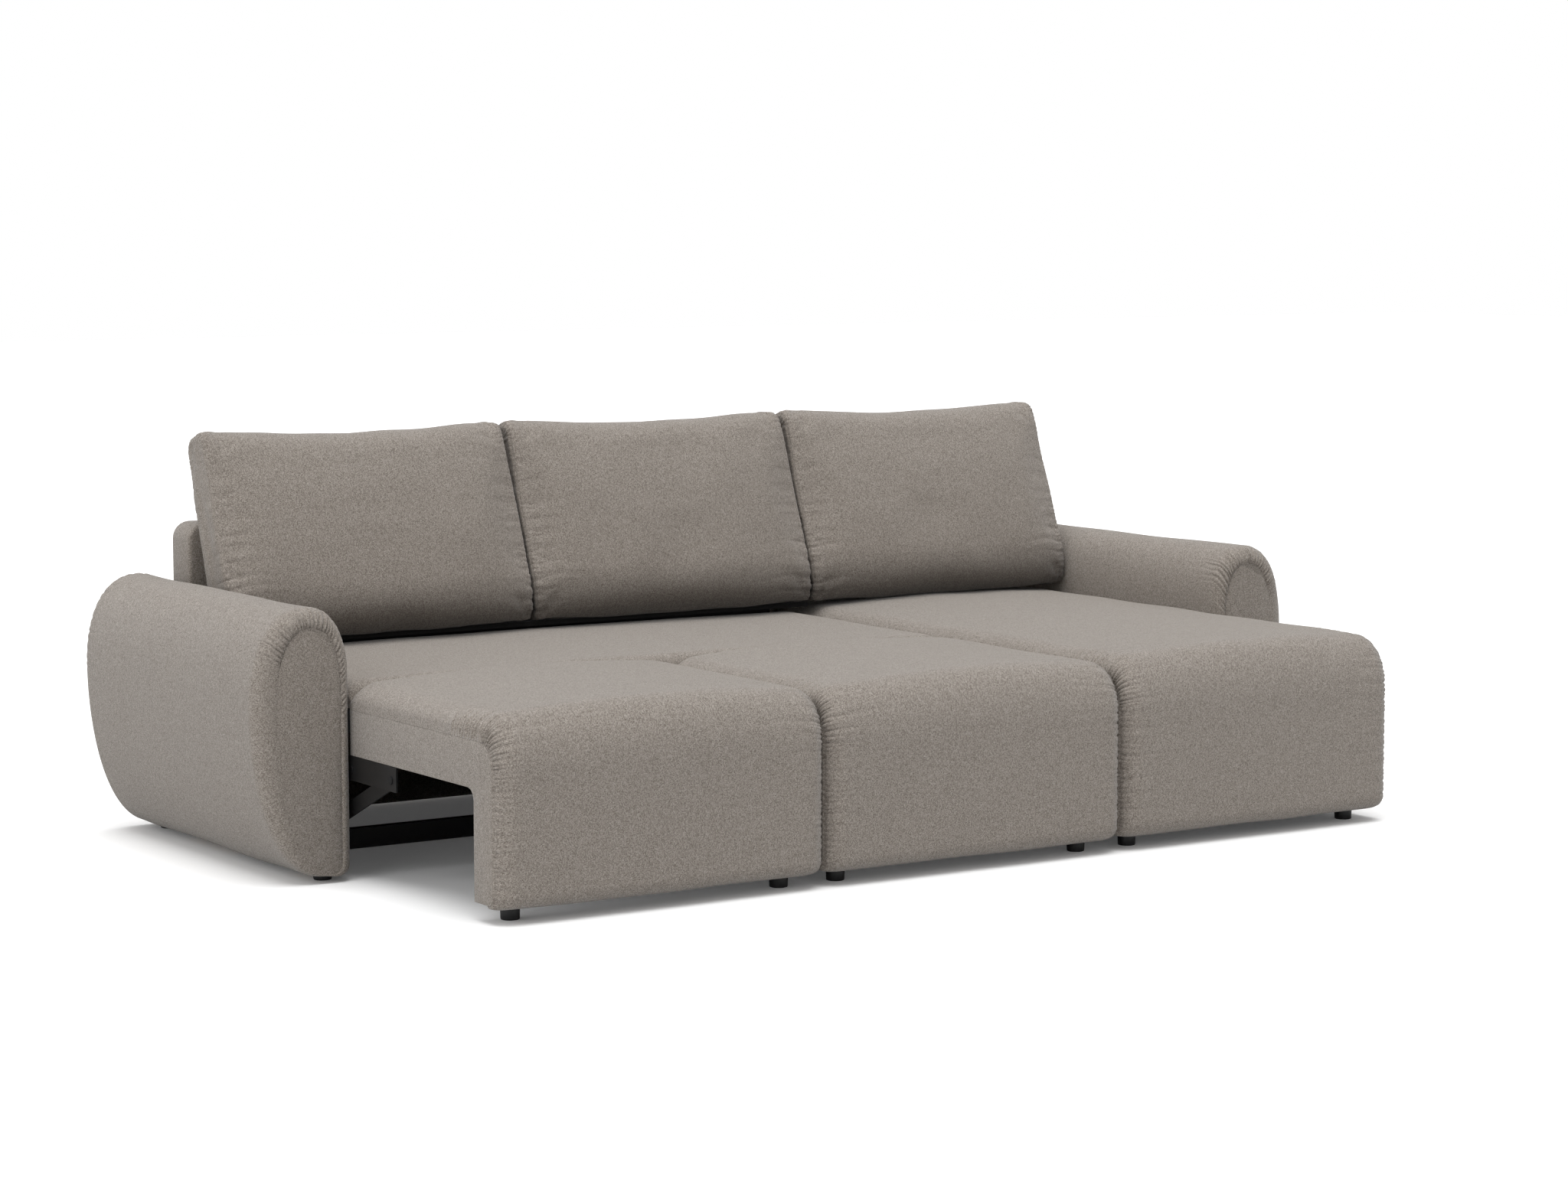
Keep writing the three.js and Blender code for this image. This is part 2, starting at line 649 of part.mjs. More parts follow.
for (const side of ['left', 'right']) {
  const half = hangerLegWidth / 2;
  const pivots = [forePivot + deckPivotBack, aftPivot + deckPivotBack];
  const barBottom = deckUnderside + hangerBarInset;
  const barTop = barBottom + hangerBarHeight;
  const leg = (y) => arc(y, deckPivotHeight, half, half, 180, 360, roundSides / 2);
  const outline = [
    [pivots[0] - half, barTop],
    ...leg(pivots[0]),
    [pivots[0] + half, barBottom],
    [pivots[1] - half, barBottom],
    ...leg(pivots[1]),
    [pivots[1] + half, barBottom],
    [pivots[1] + hangerReach, barBottom],
    [pivots[1] + hangerReach, barTop],
  ];
  const holes = pivots.map((y) => [y, deckPivotHeight, pinRadius + fitGap]);
  addPart(`deck_hanger_${side}`, 'steel',
    toGeometry(plateAlongX(outline, sides[side](hangerIn), sides[side](hangerOut), holes)));
}

// Arms: upholstery over a side board and a base board, closed by an arched panel at each end.
// An outline is given in [distance outward from the inner face, height].
const fullArm = {
  inner: 0, top: armTop, crest: armCrestOffset, outer: armWidth, foot: armFootWidth, bottom: armBottom,
};
const archArm = {
  inner: archInnerInset,
  top: armTop - archTopInset,
  crest: armCrestOffset,
  outer: armWidth - archOuterInset,
  foot: armFootWidth - archFootInset,
  bottom: armBottom + archBottomInset,
};

// A quarter of an oval that is a little fuller at its corner than an ellipse
function squaredArc(cx, cy, rx, ry, from, to) {
  const full = (value) => Math.sign(value) * Math.abs(value) ** armSquareness;
  return arc(0, 0, 1, 1, from, to, cornerSteps).map(([c, s]) => [cx + rx * full(c), cy + ry * full(s)]);
}

function armOutline({ inner, top, crest, outer, foot: base, bottom }) {
  return [
    ...arc(inner + armCorner, bottom + armCorner, armCorner, armCorner, 270, 180, cornerSteps / 2),
    ...squaredArc(crest, top - armInnerRise, crest - inner, armInnerRise, 180, 90),
    ...squaredArc(crest, armBulgeHeight, outer - crest, top - armBulgeHeight, 90, 0).slice(1),
    ...arc(base, armBulgeHeight, outer - base, armBulgeHeight - bottom, 0, -90, cornerSteps).slice(1),
  ];
}

function armUpholstery(place) {
  const full = armOutline(fullArm);
  const arch = armOutline(archArm);
  const shares = [0, 0.09, 0.29, 0.6, 1];
  const grow = (share) => Math.sqrt(1 - (1 - share) ** 2);
  const endY = [armFront + archPanelThickness, rear - archPanelThickness];
  const stations = [
    ...shares.map((share) => [endY[0] + share * armRounding, grow(share)]),
    ...shares.slice().reverse().map((share) => [endY[1] - share * armRounding, grow(share)]),
  ];
  const rings = stations.map(([y, share]) => full.map(([out, z], i) => new THREE.Vector3(
    place(arch[i][0] + (out - arch[i][0]) * share), y, arch[i][1] + (z - arch[i][1]) * share)));
  return loft(rings, (point) => new THREE.Vector2(point.x, point.z));
}

function archPanel(place, y0, y1) {
  const rings = [y0, y1].map((y) => armOutline(archArm)
    .map(([out, z]) => new THREE.Vector3(place(out), y, z)));
  return loft(rings, (point) => new THREE.Vector2(point.x, point.z));
}

const arms = {
  arm_left: (out) => leftWall - out,
  arm_right: (out) => armLine + moduleGap / 2 + out,
};
for (const [name, place] of Object.entries(arms)) {
  const y = [armFront + armBoardEndInset, rear - armBoardEndInset];
  const span = (a, b) => [Math.min(place(a), place(b)), Math.max(place(a), place(b))];
  const board = { in: armBoardCover, out: armBoardCover + armBoardThickness };
  const pocket = join(
    block(...span(board.in - fitGap, board.out + fitGap), y[0] - fitGap, y[1] + fitGap,
      armBottom - overrun, armBottom + armBoardHeight + fitGap),
    block(...span(board.in, armFootWidth + fitGap), y[0] - fitGap, y[1] + fitGap,
      armBottom - overrun, armBottom + boardThickness + fitGap),
  );
  addPart(`${name}_upholstery`, 'fabric', toGeometry(cut(armUpholstery(place), pocket)));
  addPart(`${name}_board`, 'timber', toGeometry(join(
    block(...span(board.in, board.out), ...y, armBottom, armBottom + armBoardHeight),
    block(...span(board.in, armFootWidth), ...y, armBottom, armBottom + boardThickness),
  )));
  addPart(`${name}_front_panel`, 'fabric',
    toGeometry(archPanel(place, armFront, armFront + archPanelThickness - fitGap)));
  addPart(`${name}_rear_panel`, 'fabric',
    toGeometry(archPanel(place, rear - archPanelThickness + fitGap, rear)));
  const feetY = { front: armFront + armFrontFootInset, rear: rear - armRearFootInset };
  for (const [end, footY] of Object.entries(feetY)) {
    addPart(`${name}_foot_${end}`, 'plastic',
      toGeometry(foot(place(armFootOffset), footY, armBottom - fitGap)));
  }
}

// Back: an upholstered panel between the arms, stiffened by a board
const backRear = backFront + backThickness;
const backHalf = -leftWall - seatGap;
const backShape = new THREE.Shape([
  [-backHalf, backBottom],
  [backHalf, backBottom],
  ...arc(backHalf - backCorner, backTop - backCorner, backCorner, backCorner, 0, 90, cornerSteps),
  ...arc(backCorner - backHalf, backTop - backCorner, backCorner, backCorner, 90, 180, cornerSteps),
].map(([x, z]) => new THREE.Vector2(x, z)));
const backGeometry = new THREE.ExtrudeGeometry(backShape, {
  depth: backThickness - 2 * backEdge, bevelSize: backEdge, bevelThickness: backEdge,
  bevelOffset: -backEdge, bevelSegments: 3,
});
backGeometry.applyMatrix4(new THREE.Matrix4().makeBasis(
  new THREE.Vector3(1, 0, 0), new THREE.Vector3(0, 0, 1), new THREE.Vector3(0, -1, 0),
));
backGeometry.translate(0, backRear - backEdge, 0);
const backBoard = {
  x: backHalf - backBoardInset,
  y: (backFront + backRear - backBoardThickness) / 2,
  top: backTop - backBoardInset,
};
addPart('back_upholstery', 'fabric', toGeometry(cut(toSolid(backGeometry), block(
  -backBoard.x - fitGap, backBoard.x + fitGap, backBoard.y - fitGap,
  backBoard.y + backBoardThickness + fitGap, backBottom - overrun, backBoard.top + fitGap))));
addPart('back_board', 'timber', toGeometry(block(-backBoard.x, backBoard.x, backBoard.y,
  backBoard.y + backBoardThickness, backBottom, backBoard.top)));

// Ledge above the rear of the deck, on a steel angle screwed to the back
const ledgeTop = cushionBase - fitGap;
const ledgeBottom = ledgeTop - ledgeThickness;
const ledgeX = [sides.left(seatGap), sides.right(seatGap)];
addPart('cushion_ledge', 'timber', toGeometry(block(...ledgeX,
  backFront - ledgeDepth, backFront - fitGap, ledgeBottom, ledgeTop)));
const angleTop = ledgeBottom - fitGap;
const angleRear = backFront - fitGap;
addPart('ledge_angle', 'steel', toGeometry(join(
  block(...ledgeX, angleRear - ledgeAngleReach, angleRear, angleTop - ledgeAngleThickness, angleTop),
  block(...ledgeX, angleRear - ledgeAngleThickness, angleRear, angleTop - ledgeAngleDrop, angleTop),
)));

// Back cushions: boxed and crowned, leaning on the back and pressed flat where they rest
function cushionOutline() {
  const halfWidthAt = (t) => {
    const widestShare = 0.35;
    const above = Math.max(0, (t - widestShare) / (1 - widestShare));
    const below = Math.max(0, (widestShare - t) / widestShare);
    return cushionWidth / 2 - cushionTopNarrowing * above * above - cushionBottomNarrowing * below * below;
  };
  const rise = (t) => [halfWidthAt(t), t * cushionHeight];
  const sideShares = [0.14, 0.32, 0.5, 0.68, 0.86];
  const acrossShares = [-0.6, -0.2, 0.2, 0.6];
  const corner = cushionCorner;
  const low = halfWidthAt(0);
  const high = halfWidthAt(1);
  const bottom = acrossShares.map((share) => [share * low, -cushionBottomSag * (1 - share * share)]);
  const topAt = (share) => cushionHeight - cushionTopSag * (1 - share * share);
  const top = acrossShares.map((share) => [-share * high, topAt(share)]);
  return [
    ...bottom,
    ...arc(low - corner, corner, corner, corner, -90, 0, cornerSteps / 2),
    ...sideShares.map(rise),
    ...arc(high - corner, cushionHeight - corner, corner, corner, 0, 90, cornerSteps / 2),
    ...top,
    ...arc(corner - high, cushionHeight - corner, corner, corner, 90, 180, cornerSteps / 2),
    ...sideShares.slice().reverse().map(rise).map(([x, s]) => [-x, s]),
    ...arc(corner - low, corner, corner, corner, 180, 270, cornerSteps / 2),
  ];
}

function cushion(centre) {
  const ringShares = [0.22, 0.48, 0.7, 0.86, 0.96, 1];
  const lean = rad(cushionLean);
  const base = backFront - cushionStand;
  const middle = cushionHeight / 2;
  const levels = [
    ...ringShares.map((share) => ({ share, crown: cushionFrontCrown, way: 1 })),
    ...ringShares.slice().reverse().map((share) => ({ share, crown: cushionBackCrown, way: -1 })),
  ];
  const toWorld = (x, s, forward) => new THREE.Vector3(centre + x,
    base + s * Math.sin(lean) - forward * Math.cos(lean),
    cushionBase + s * Math.cos(lean) + forward * Math.sin(lean));
  const outline = cushionOutline();
  const fade = (distance, half) => Math.max(0, 1 - Math.abs(distance / half) ** cushionBulgePower);
  const rings = levels.map(({ share, crown, way }) => outline.map(([edgeX, edgeS]) => {
    const x = edgeX * share;
    const s = middle + (edgeS - middle) * share;
    const swelling = share < 1 ? fade(x, cushionWidth / 2) * fade(s - middle, middle) : 0;
    return toWorld(x, s, way * (cushionThickness / 2 + crown * swelling));
  }));
  const along = (point) => new THREE.Vector2(point.x,
    point.y * Math.sin(lean) + point.z * Math.cos(lean));
  const body = loft(rings, along);
  const reach = cushionWidth;
  const backBlock = block(centre - reach, centre + reach, backFront - fitGap, backRear + reach,
    cushionBase - reach, backTop + fitGap);
  const floorBlock = block(centre - reach, centre + reach, base - reach, base + reach,
    cushionBase - reach, cushionBase);
  return cut(body, backBlock, floorBlock);
}

['left', 'middle', 'right'].forEach((name, i) => {
  addPart(`back_cushion_${name}`, 'fabric', toGeometry(cushion((i - 1) * moduleWidth)));
});

export default sofa;
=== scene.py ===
# %% [markdown]
# A corner sofa bed with its bed pulled out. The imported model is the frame: its nodes give every
# place and size. The covers, pads and cushions are built around it, in metres, in the same axes:
# X from left to right, Y from front to back, Z up.

# %% Load the frame
import math

import bmesh
import bpy
import numpy as np
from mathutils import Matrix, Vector
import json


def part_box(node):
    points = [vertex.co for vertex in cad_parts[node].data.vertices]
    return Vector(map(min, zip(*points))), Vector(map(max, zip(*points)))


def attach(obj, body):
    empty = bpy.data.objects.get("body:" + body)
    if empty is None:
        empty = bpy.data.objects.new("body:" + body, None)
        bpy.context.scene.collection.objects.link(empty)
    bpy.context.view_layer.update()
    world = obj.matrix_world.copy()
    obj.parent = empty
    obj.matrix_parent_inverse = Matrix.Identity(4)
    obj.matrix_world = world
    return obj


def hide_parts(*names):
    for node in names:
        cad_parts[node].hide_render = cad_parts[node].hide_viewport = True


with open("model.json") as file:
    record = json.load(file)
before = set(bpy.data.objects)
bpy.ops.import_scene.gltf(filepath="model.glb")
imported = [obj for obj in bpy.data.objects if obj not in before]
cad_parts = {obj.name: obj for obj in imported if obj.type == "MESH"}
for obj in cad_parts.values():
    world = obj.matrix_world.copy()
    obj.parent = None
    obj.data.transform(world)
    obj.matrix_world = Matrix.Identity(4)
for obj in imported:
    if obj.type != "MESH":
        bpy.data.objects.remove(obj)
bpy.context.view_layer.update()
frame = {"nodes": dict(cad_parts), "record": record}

nodes = frame["nodes"]

# %% [markdown]
# The camera stands in front of the sofa and to its left, at chest height, and looks slightly down.
# A long lens from almost nine metres away keeps the upright edges nearly parallel.

# %% Place the camera
CAMERA_PLACE = (-4.81, -7.291, 1.467)
CAMERA_TURN = math.radians(33.42)
CAMERA_DROP = math.radians(6.07)
LENS = 85
SENSOR = 36
FARTHEST_SEEN = 200


def add_camera():
    data = bpy.data.cameras.new("camera")
    data.lens = LENS
    data.sensor_width = SENSOR
    data.clip_end = FARTHEST_SEEN
    camera = bpy.data.objects.new("camera", data)
    camera.location = CAMERA_PLACE
    camera.rotation_euler = (math.pi / 2 - CAMERA_DROP, 0, -CAMERA_TURN)
    bpy.context.scene.collection.objects.link(camera)
    bpy.context.scene.camera = camera


add_camera()
bpy.context.scene.view_settings.view_transform = "Standard"

# %% [markdown]
# Materials are node trees. A small helper adds a node with its settings, so that each material
# below reads as a list of what it does.

# %% Helpers for node trees
def set_inputs(tree, node, inputs):
    """Each input gets a plain value, or a link from another node's output."""
    for key, value in inputs.items():
        if isinstance(value, bpy.types.NodeSocket):
            tree.links.new(value, node.inputs[key])
        else:
            node.inputs[key].default_value = value


def outputs_of(tree, kind, inputs, **settings):
    node = tree.nodes.new("ShaderNode" + kind)
    for name, value in settings.items():
        setattr(node, name, value)
    set_inputs(tree, node, inputs)
    return node.outputs


def maths(tree, operation, a, b=0.0, **settings):
    return outputs_of(tree, "Math", {0: a, 1: b}, operation=operation, **settings)[0]


def vector_maths(tree, operation, inputs):
    return outputs_of(tree, "VectorMath", inputs, operation=operation)[0]


def noise(tree, place, scale, detail, **more):
    values = {"Vector": place, "Scale": scale, "Detail": detail, **more}
    return outputs_of(tree, "TexNoise", values)


def mix_colours(tree, share, low, high):
    return outputs_of(tree, "Mix", {"Factor": share, 6: low, 7: high}, data_type="RGBA")[2]


def object_place(tree):
    return outputs_of(tree, "TexCoord", {})["Object"]


def new_group(name, inputs, outputs):
    tree = bpy.data.node_groups.new(name, "ShaderNodeTree")
    for label, kind in inputs:
        tree.interface.new_socket(label, in_out="INPUT", socket_type="NodeSocket" + kind)
    for label, kind in outputs:
        tree.interface.new_socket(label, in_out="OUTPUT", socket_type="NodeSocket" + kind)
    given = tree.nodes.new("NodeGroupInput")
    result = tree.nodes.new("NodeGroupOutput")
    return tree, given.outputs, result.inputs


def colour(red, green, blue):
    """A colour as it is read on a screen, from 0 to 255, turned into linear values."""
    def linear(value):
        share = value / 255
        return share / 12.92 if share <= 0.04045 else ((share + 0.055) / 1.055) ** 2.4
    return (linear(red), linear(green), linear(blue), 1.0)


# %% [markdown]
# The cover is a soft plain weave with uneven threads: they pass over and under each other, and
# each is lighter and darker along its length. An image would repeat and would need a laid-out
# surface. Here rows and columns are counted off in space. Each row and each column has its own
# slow noise along it, and a chequer says which of the two lies on top. The grid is laid on from
# whichever axis the surface faces most, and it wavers a little, as threads do.

# %% The weave, as a node group
HALF = 0.5
GREY_MIDDLE = (HALF, HALF, HALF)
EDGE_NOISE, EDGE_BLEND = 160.0, 0.5
WAVER_NOISE, WAVER = 30.0, 0.006
LINES_APART = 7.3
COLUMN_LAYER = 40.5
CLOUD_NOISE, CLOUD_DRIFT = 26.0, 0.07


def centred_noise(tree, place, scale, size):
    """A noise vector round zero."""
    grey = noise(tree, place, scale, 1.0)["Color"]
    middle = vector_maths(tree, "SUBTRACT", {0: grey, 1: GREY_MIDDLE})
    return vector_maths(tree, "SCALE", {0: middle, "Scale": size})


def choose(tree, share, low, high):
    return outputs_of(tree, "Mix", {"Factor": share, 2: low, 3: high}, data_type="FLOAT")[0]


def thread_grid(tree, thread_size):
    """Threads counted across and upward on the surface, as it faces up, sideways or forward."""
    source = outputs_of(tree, "TexCoord", {})
    place = source["Object"]
    facing = vector_maths(tree, "ABSOLUTE", {0: source["Normal"]})
    uneven = vector_maths(tree, "ADD", {0: facing, 1: centred_noise(tree, place, EDGE_NOISE, EDGE_BLEND)})
    face = outputs_of(tree, "SeparateXYZ", {0: uneven})
    wavering = vector_maths(tree, "ADD", {0: place, 1: centred_noise(tree, place, WAVER_NOISE, WAVER)})
    at = outputs_of(tree, "SeparateXYZ", {0: wavering})
    faces_up = maths(tree, "GREATER_THAN", face["Z"], maths(tree, "MAXIMUM", face["X"], face["Y"]))
    faces_side = maths(tree, "GREATER_THAN", face["X"], face["Y"])
    only_side = maths(tree, "MULTIPLY", faces_side, maths(tree, "SUBTRACT", 1.0, faces_up))
    across = maths(tree, "DIVIDE", choose(tree, only_side, at["X"], at["Y"]), thread_size)
    upward = maths(tree, "DIVIDE", choose(tree, faces_up, at["Z"], at["Y"]), thread_size)
    return across, upward


def thread_tone(tree, along, line, slub, layer):
    """How light a thread is at each place along it."""
    spot = outputs_of(tree, "CombineXYZ", {0: maths(tree, "DIVIDE", along, slub),
                                           1: maths(tree, "MULTIPLY", line, LINES_APART), 2: layer})
    return noise(tree, spot[0], 1.0, 1.0)[0]


def weave_group():
    tree, given, result = new_group("woven threads", [
        ("Thread Size", "Float"), ("Slub", "Float"), ("Light", "Color"), ("Dark", "Color"),
        ("Contrast", "Float")], [("Color", "Color"), ("Height", "Float")])
    across, upward = thread_grid(tree, given["Thread Size"])
    row = maths(tree, "FLOOR", upward)
    column = maths(tree, "FLOOR", across)
    on_top = maths(tree, "FLOORED_MODULO", maths(tree, "ADD", row, column), 2.0)
    tone = choose(tree, on_top, thread_tone(tree, across, row, given["Slub"], 0.0),
                  thread_tone(tree, upward, column, given["Slub"], COLUMN_LAYER))
    round_thread = choose(tree, on_top, maths(tree, "PINGPONG", upward, HALF),
                          maths(tree, "PINGPONG", across, HALF))
    cloud = noise(tree, object_place(tree), CLOUD_NOISE, 2.0)[0]
    drift = maths(tree, "MULTIPLY", maths(tree, "SUBTRACT", cloud, HALF), CLOUD_DRIFT)
    strong = maths(tree, "MULTIPLY", maths(tree, "SUBTRACT", tone, HALF), given["Contrast"])
    share = maths(tree, "ADD", maths(tree, "ADD", strong, drift), HALF, use_clamp=True)
    tree.links.new(mix_colours(tree, share, given["Dark"], given["Light"]), result["Color"])
    tree.links.new(maths(tree, "ADD", tone, round_thread), result["Height"])
    return tree


WEAVE = weave_group()
print("weave:", len(WEAVE.nodes), "nodes")

# %% [markdown]
# Every cover uses the same cloth. The sheen stands for its short pile: it lightens the surface
# where it is seen at a low angle, which is why the seats look paler than the fronts.

# %% The cover cloth
THREADS = {"Thread Size": 0.0018, "Slub": 1.7, "Contrast": 2.8}
THREAD_RELIEF = {"Strength": 0.4, "Distance": 0.002}
CLOTH_SURFACE = {"Roughness": 0.92, "Specular IOR Level": 0.2, "Sheen Weight": 0.22,
                 "Sheen Roughness": 0.45, "Sheen Tint": (0.92, 0.96, 1.0, 1)}


def principled(name):
    material = bpy.data.materials.new(name)
    material.use_nodes = True
    return material, material.node_tree, material.node_tree.nodes["Principled BSDF"]


def cloth(name, light, dark):
    material, tree, shader = principled(name)
    threads = outputs_of(tree, "Group", {"Light": light, "Dark": dark, **THREADS}, node_tree=WEAVE)
    relief = outputs_of(tree, "Bump", {"Height": threads["Height"], **THREAD_RELIEF})
    set_inputs(tree, shader, {"Base Color": threads["Color"], "Normal": relief[0], **CLOTH_SURFACE})
    return material


COVER_LIGHT = colour(163, 156, 148)
COVER_DARK = colour(106, 97, 89)
COVER = cloth("taupe_chenille", COVER_LIGHT, COVER_DARK)
# Black lining cloth. Its black is partly painted shade: it darkens the insides of the seat boxes, the
# ledge and the deck frame, which lie in shade.
BLACK_LINING_AND_SHADE = cloth("black_lining_and_painted_shade", colour(26, 25, 25), colour(12, 12, 12))
print("cloths:", COVER.name, BLACK_LINING_AND_SHADE.name)

# %% [markdown]
# The foot of a back cushion lies in deep shade between the seat and the cushion's own belly, more
# than the lamps alone would give. Its cover has the same threads, and its colour falls off towards
# the seat, over the height of a hand: that darkening is painted shade.

# %% The back cushions' cloth
SHADE_LOW, SHADE_HIGH = 0.455, 0.6
SHADE_LEAST = 0.4


def painted_shade_cloth(name, light, dark):
    material = cloth(name, light, dark)
    tree = material.node_tree
    shader = tree.nodes["Principled BSDF"]
    threads = shader.inputs["Base Color"].links[0].from_socket
    # Painted shade: the cloth's colour darkens towards the cushion's foot.
    height = outputs_of(tree, "SeparateXYZ", {0: object_place(tree)})["Z"]
    share = outputs_of(tree, "MapRange", {"Value": height, "From Min": SHADE_LOW, "From Max": SHADE_HIGH,
                                          "To Min": SHADE_LEAST}, interpolation_type="SMOOTHSTEP")
    shaded = vector_maths(tree, "SCALE", {0: threads, "Scale": share[0]})
    tree.links.new(shaded, shader.inputs["Base Color"])
    return material


CUSHION_PAINTED_SHADE_COVER = painted_shade_cloth("taupe_chenille_cushion_painted_shade", COVER_LIGHT, COVER_DARK)

# %% [markdown]
# The folding gear is painted steel with zinc-plated pins, and the feet are moulded plastic. Paint
# and plastic are never quite even: a fine bump and a slow change in roughness and tone show it.
# The boards are plain timber, whose grain is noise stretched along the board.

# %% Paint, zinc-plated steel, plastic and timber
SHINE_NOISE, SHINE_SPREAD = 9.0, 0.12
DARKER = 0.8
PEEL_DEPTH = 0.0005
GRAIN_STRETCH = (1.5, 1.5, 22.0)
RING_NOISE, RING_DETAIL, RING_BEND = 6.0, 6.0, 1.4
TIMBER_DARK = colour(128, 96, 62)
TIMBER_LIGHT = colour(196, 164, 122)
TIMBER_RELIEF = {"Strength": 0.2, "Distance": 0.0006}
TIMBER_ROUGHNESS = 0.68


def uneven_finish(name, base, metallic, roughness, grain_scale, grain_strength):
    material, tree, shader = principled(name)
    place = object_place(tree)
    grain = noise(tree, place, grain_scale, 2.0)[0]
    cloud = noise(tree, place, SHINE_NOISE, 3.0)[0]
    shine = outputs_of(tree, "MapRange", {"Value": cloud, "To Min": roughness - SHINE_SPREAD,
                                          "To Max": roughness + SHINE_SPREAD})
    darker = tuple(share * DARKER for share in base[:3]) + (1.0,)
    relief = outputs_of(tree, "Bump", {"Height": grain, "Strength": grain_strength,
                                       "Distance": PEEL_DEPTH})
    set_inputs(tree, shader, {"Base Color": mix_colours(tree, cloud, darker, base), "Normal": relief[0],
                              "Roughness": shine[0], "Metallic": metallic})
    return material


def timber_finish():
    material, tree, shader = principled("plain_timber")
    stretched = outputs_of(tree, "Mapping", {"Vector": object_place(tree), "Scale": GRAIN_STRETCH})
    rings = noise(tree, stretched[0], RING_NOISE, RING_DETAIL, Distortion=RING_BEND)[0]
    relief = outputs_of(tree, "Bump", {"Height": rings, **TIMBER_RELIEF})
    set_inputs(tree, shader, {"Base Color": mix_colours(tree, rings, TIMBER_DARK, TIMBER_LIGHT),
                              "Normal": relief[0], "Roughness": TIMBER_ROUGHNESS})
    return material


BLACK_PAINT = uneven_finish("black_painted_steel", colour(20, 20, 21), 0.0, 0.42, 900.0, 0.3)
ZINC_STEEL = uneven_finish("zinc_plated_steel", colour(70, 71, 73), 1.0, 0.45, 1400.0, 0.2)
FOOT_PLASTIC = uneven_finish("black_plastic", colour(22, 22, 23), 0.0, 0.46, 1200.0, 0.25)
TIMBER = timber_finish()
print("hard finishes:", BLACK_PAINT.name, ZINC_STEEL.name, FOOT_PLASTIC.name, TIMBER.name)

# %% [markdown]
# Each CAD node that stays in view gets one of these finishes by its name.

# %% Finishes for the nodes that stay
FINISHES = {
    "lever": BLACK_PAINT, "rocker": BLACK_PAINT, "base_plate": BLACK_PAINT,
    "cross_rail": BLACK_PAINT, "seat_plate": BLACK_PAINT, "deck_hanger": BLACK_PAINT,
    "ledge_angle": BLACK_PAINT, "pin": ZINC_STEEL, "bolt": ZINC_STEEL, "foot": FOOT_PLASTIC,
    # The ledge and the deck frame get the black lining, whose black is partly painted shade.
    "board": TIMBER, "ledge": BLACK_LINING_AND_SHADE, "deck_frame": BLACK_LINING_AND_SHADE,
}


def finish_nodes():
    counts = {}
    for name, node in nodes.items():
        found = next((FINISHES[word] for word in FINISHES if word in name), COVER)
        node.data.materials.clear()
        node.data.materials.append(found)
        counts[found.name] = counts.get(found.name, 0) + 1
    print("finishes:", counts)


finish_nodes()

# %% [markdown]
# The soft pieces are made from grids of points. A grid is easy to shape with plain formulas and
# can be fine where folds are and coarse elsewhere, which a subdivided block can't.

# %% Grids, normals and pieces
MM = 0.001
TINY = 1e-12


def grid_faces(rows, columns, first=0, wrap=False):
    """Faces between the points of a grid, whose points are numbered row by row."""
    faces = []
    for row in range(rows - 1):
        for column in range(columns if wrap else columns - 1):
            after = (column + 1) % columns
            low = first + row * columns
            faces.append((low + column, low + after, low + columns + after, low + columns + column))
    return faces


def tube_faces(rows, columns):
    """Faces of a grid that closes on itself, with a lid on its first and on its last row."""
    faces = grid_faces(rows, columns, wrap=True)
    faces.append(tuple(range(columns)))
    faces.append(tuple(range((rows - 1) * columns, rows * columns)))
    return faces


def distance_along(points):
    """Distance from the first point, along a line of points or down each column of a grid."""
    steps = np.linalg.norm(np.diff(points, axis=0), axis=-1)
    return np.concatenate([np.zeros_like(steps[:1]), np.cumsum(steps, axis=0)])


def grid_normals(points, wrap=False):
    """Unit normals of a grid of points, of shape rows x columns x 3."""
    down = np.gradient(points, axis=0)
    if wrap:
        across = (np.roll(points, -1, axis=1) - np.roll(points, 1, axis=1)) / 2
    else:
        across = np.gradient(points, axis=1)
    normal = np.cross(down, across)
    return normal / np.maximum(np.linalg.norm(normal, axis=2, keepdims=True), TINY)


def closed_mesh(name, points, faces):
    """A mesh whose faces all look outward."""
    mesh = bpy.data.meshes.new(name)
    mesh.from_pydata([tuple(map(float, point)) for point in points], [], faces)
    shape = bmesh.new()
    shape.from_mesh(mesh)
    bmesh.ops.recalc_face_normals(shape, faces=shape.faces)
    shape.to_mesh(mesh)
    shape.free()
    return mesh


def make_piece(name, points, faces, body, replaced, slot="upholstery", material=COVER, sharp=70):
    mesh = closed_mesh(name, points, faces)
    mesh.shade_smooth()
    mesh.set_sharp_from_angle(angle=math.radians(sharp))
    mesh.materials.append(material)
    piece = bpy.data.objects.new(name, mesh)
    bpy.context.scene.collection.objects.link(piece)
    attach(piece, body)
    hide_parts(replaced)
    print(name, len(mesh.vertices), "points")
    return piece


# %% [markdown]
# Cloth is never dead level. A sum of a few slow waves, each in its own direction, gives a surface
# the faint unevenness of foam under a cover. The seed fixes it, so every run is the same.

# %% Slow waves and gathers
WAVES = 10
WAVE_SIZES = (0.6, 1.5)
STEP_SIZES = (0.65, 1.35)
FOLD_SIZES = (0.45, 1.25)
FOLD_LENGTHS = (0.45, 1.7)
SWAY, SWAY_LENGTH, SWAY_PITCH = 0.12, 0.35, 2.2
FOLD_ROUNDNESS, FOLD_FADE = 0.75, 1.3
SPARE_FOLDS = 1.4
FOLD_LEVEL = 0.6
TURN = 2 * math.pi


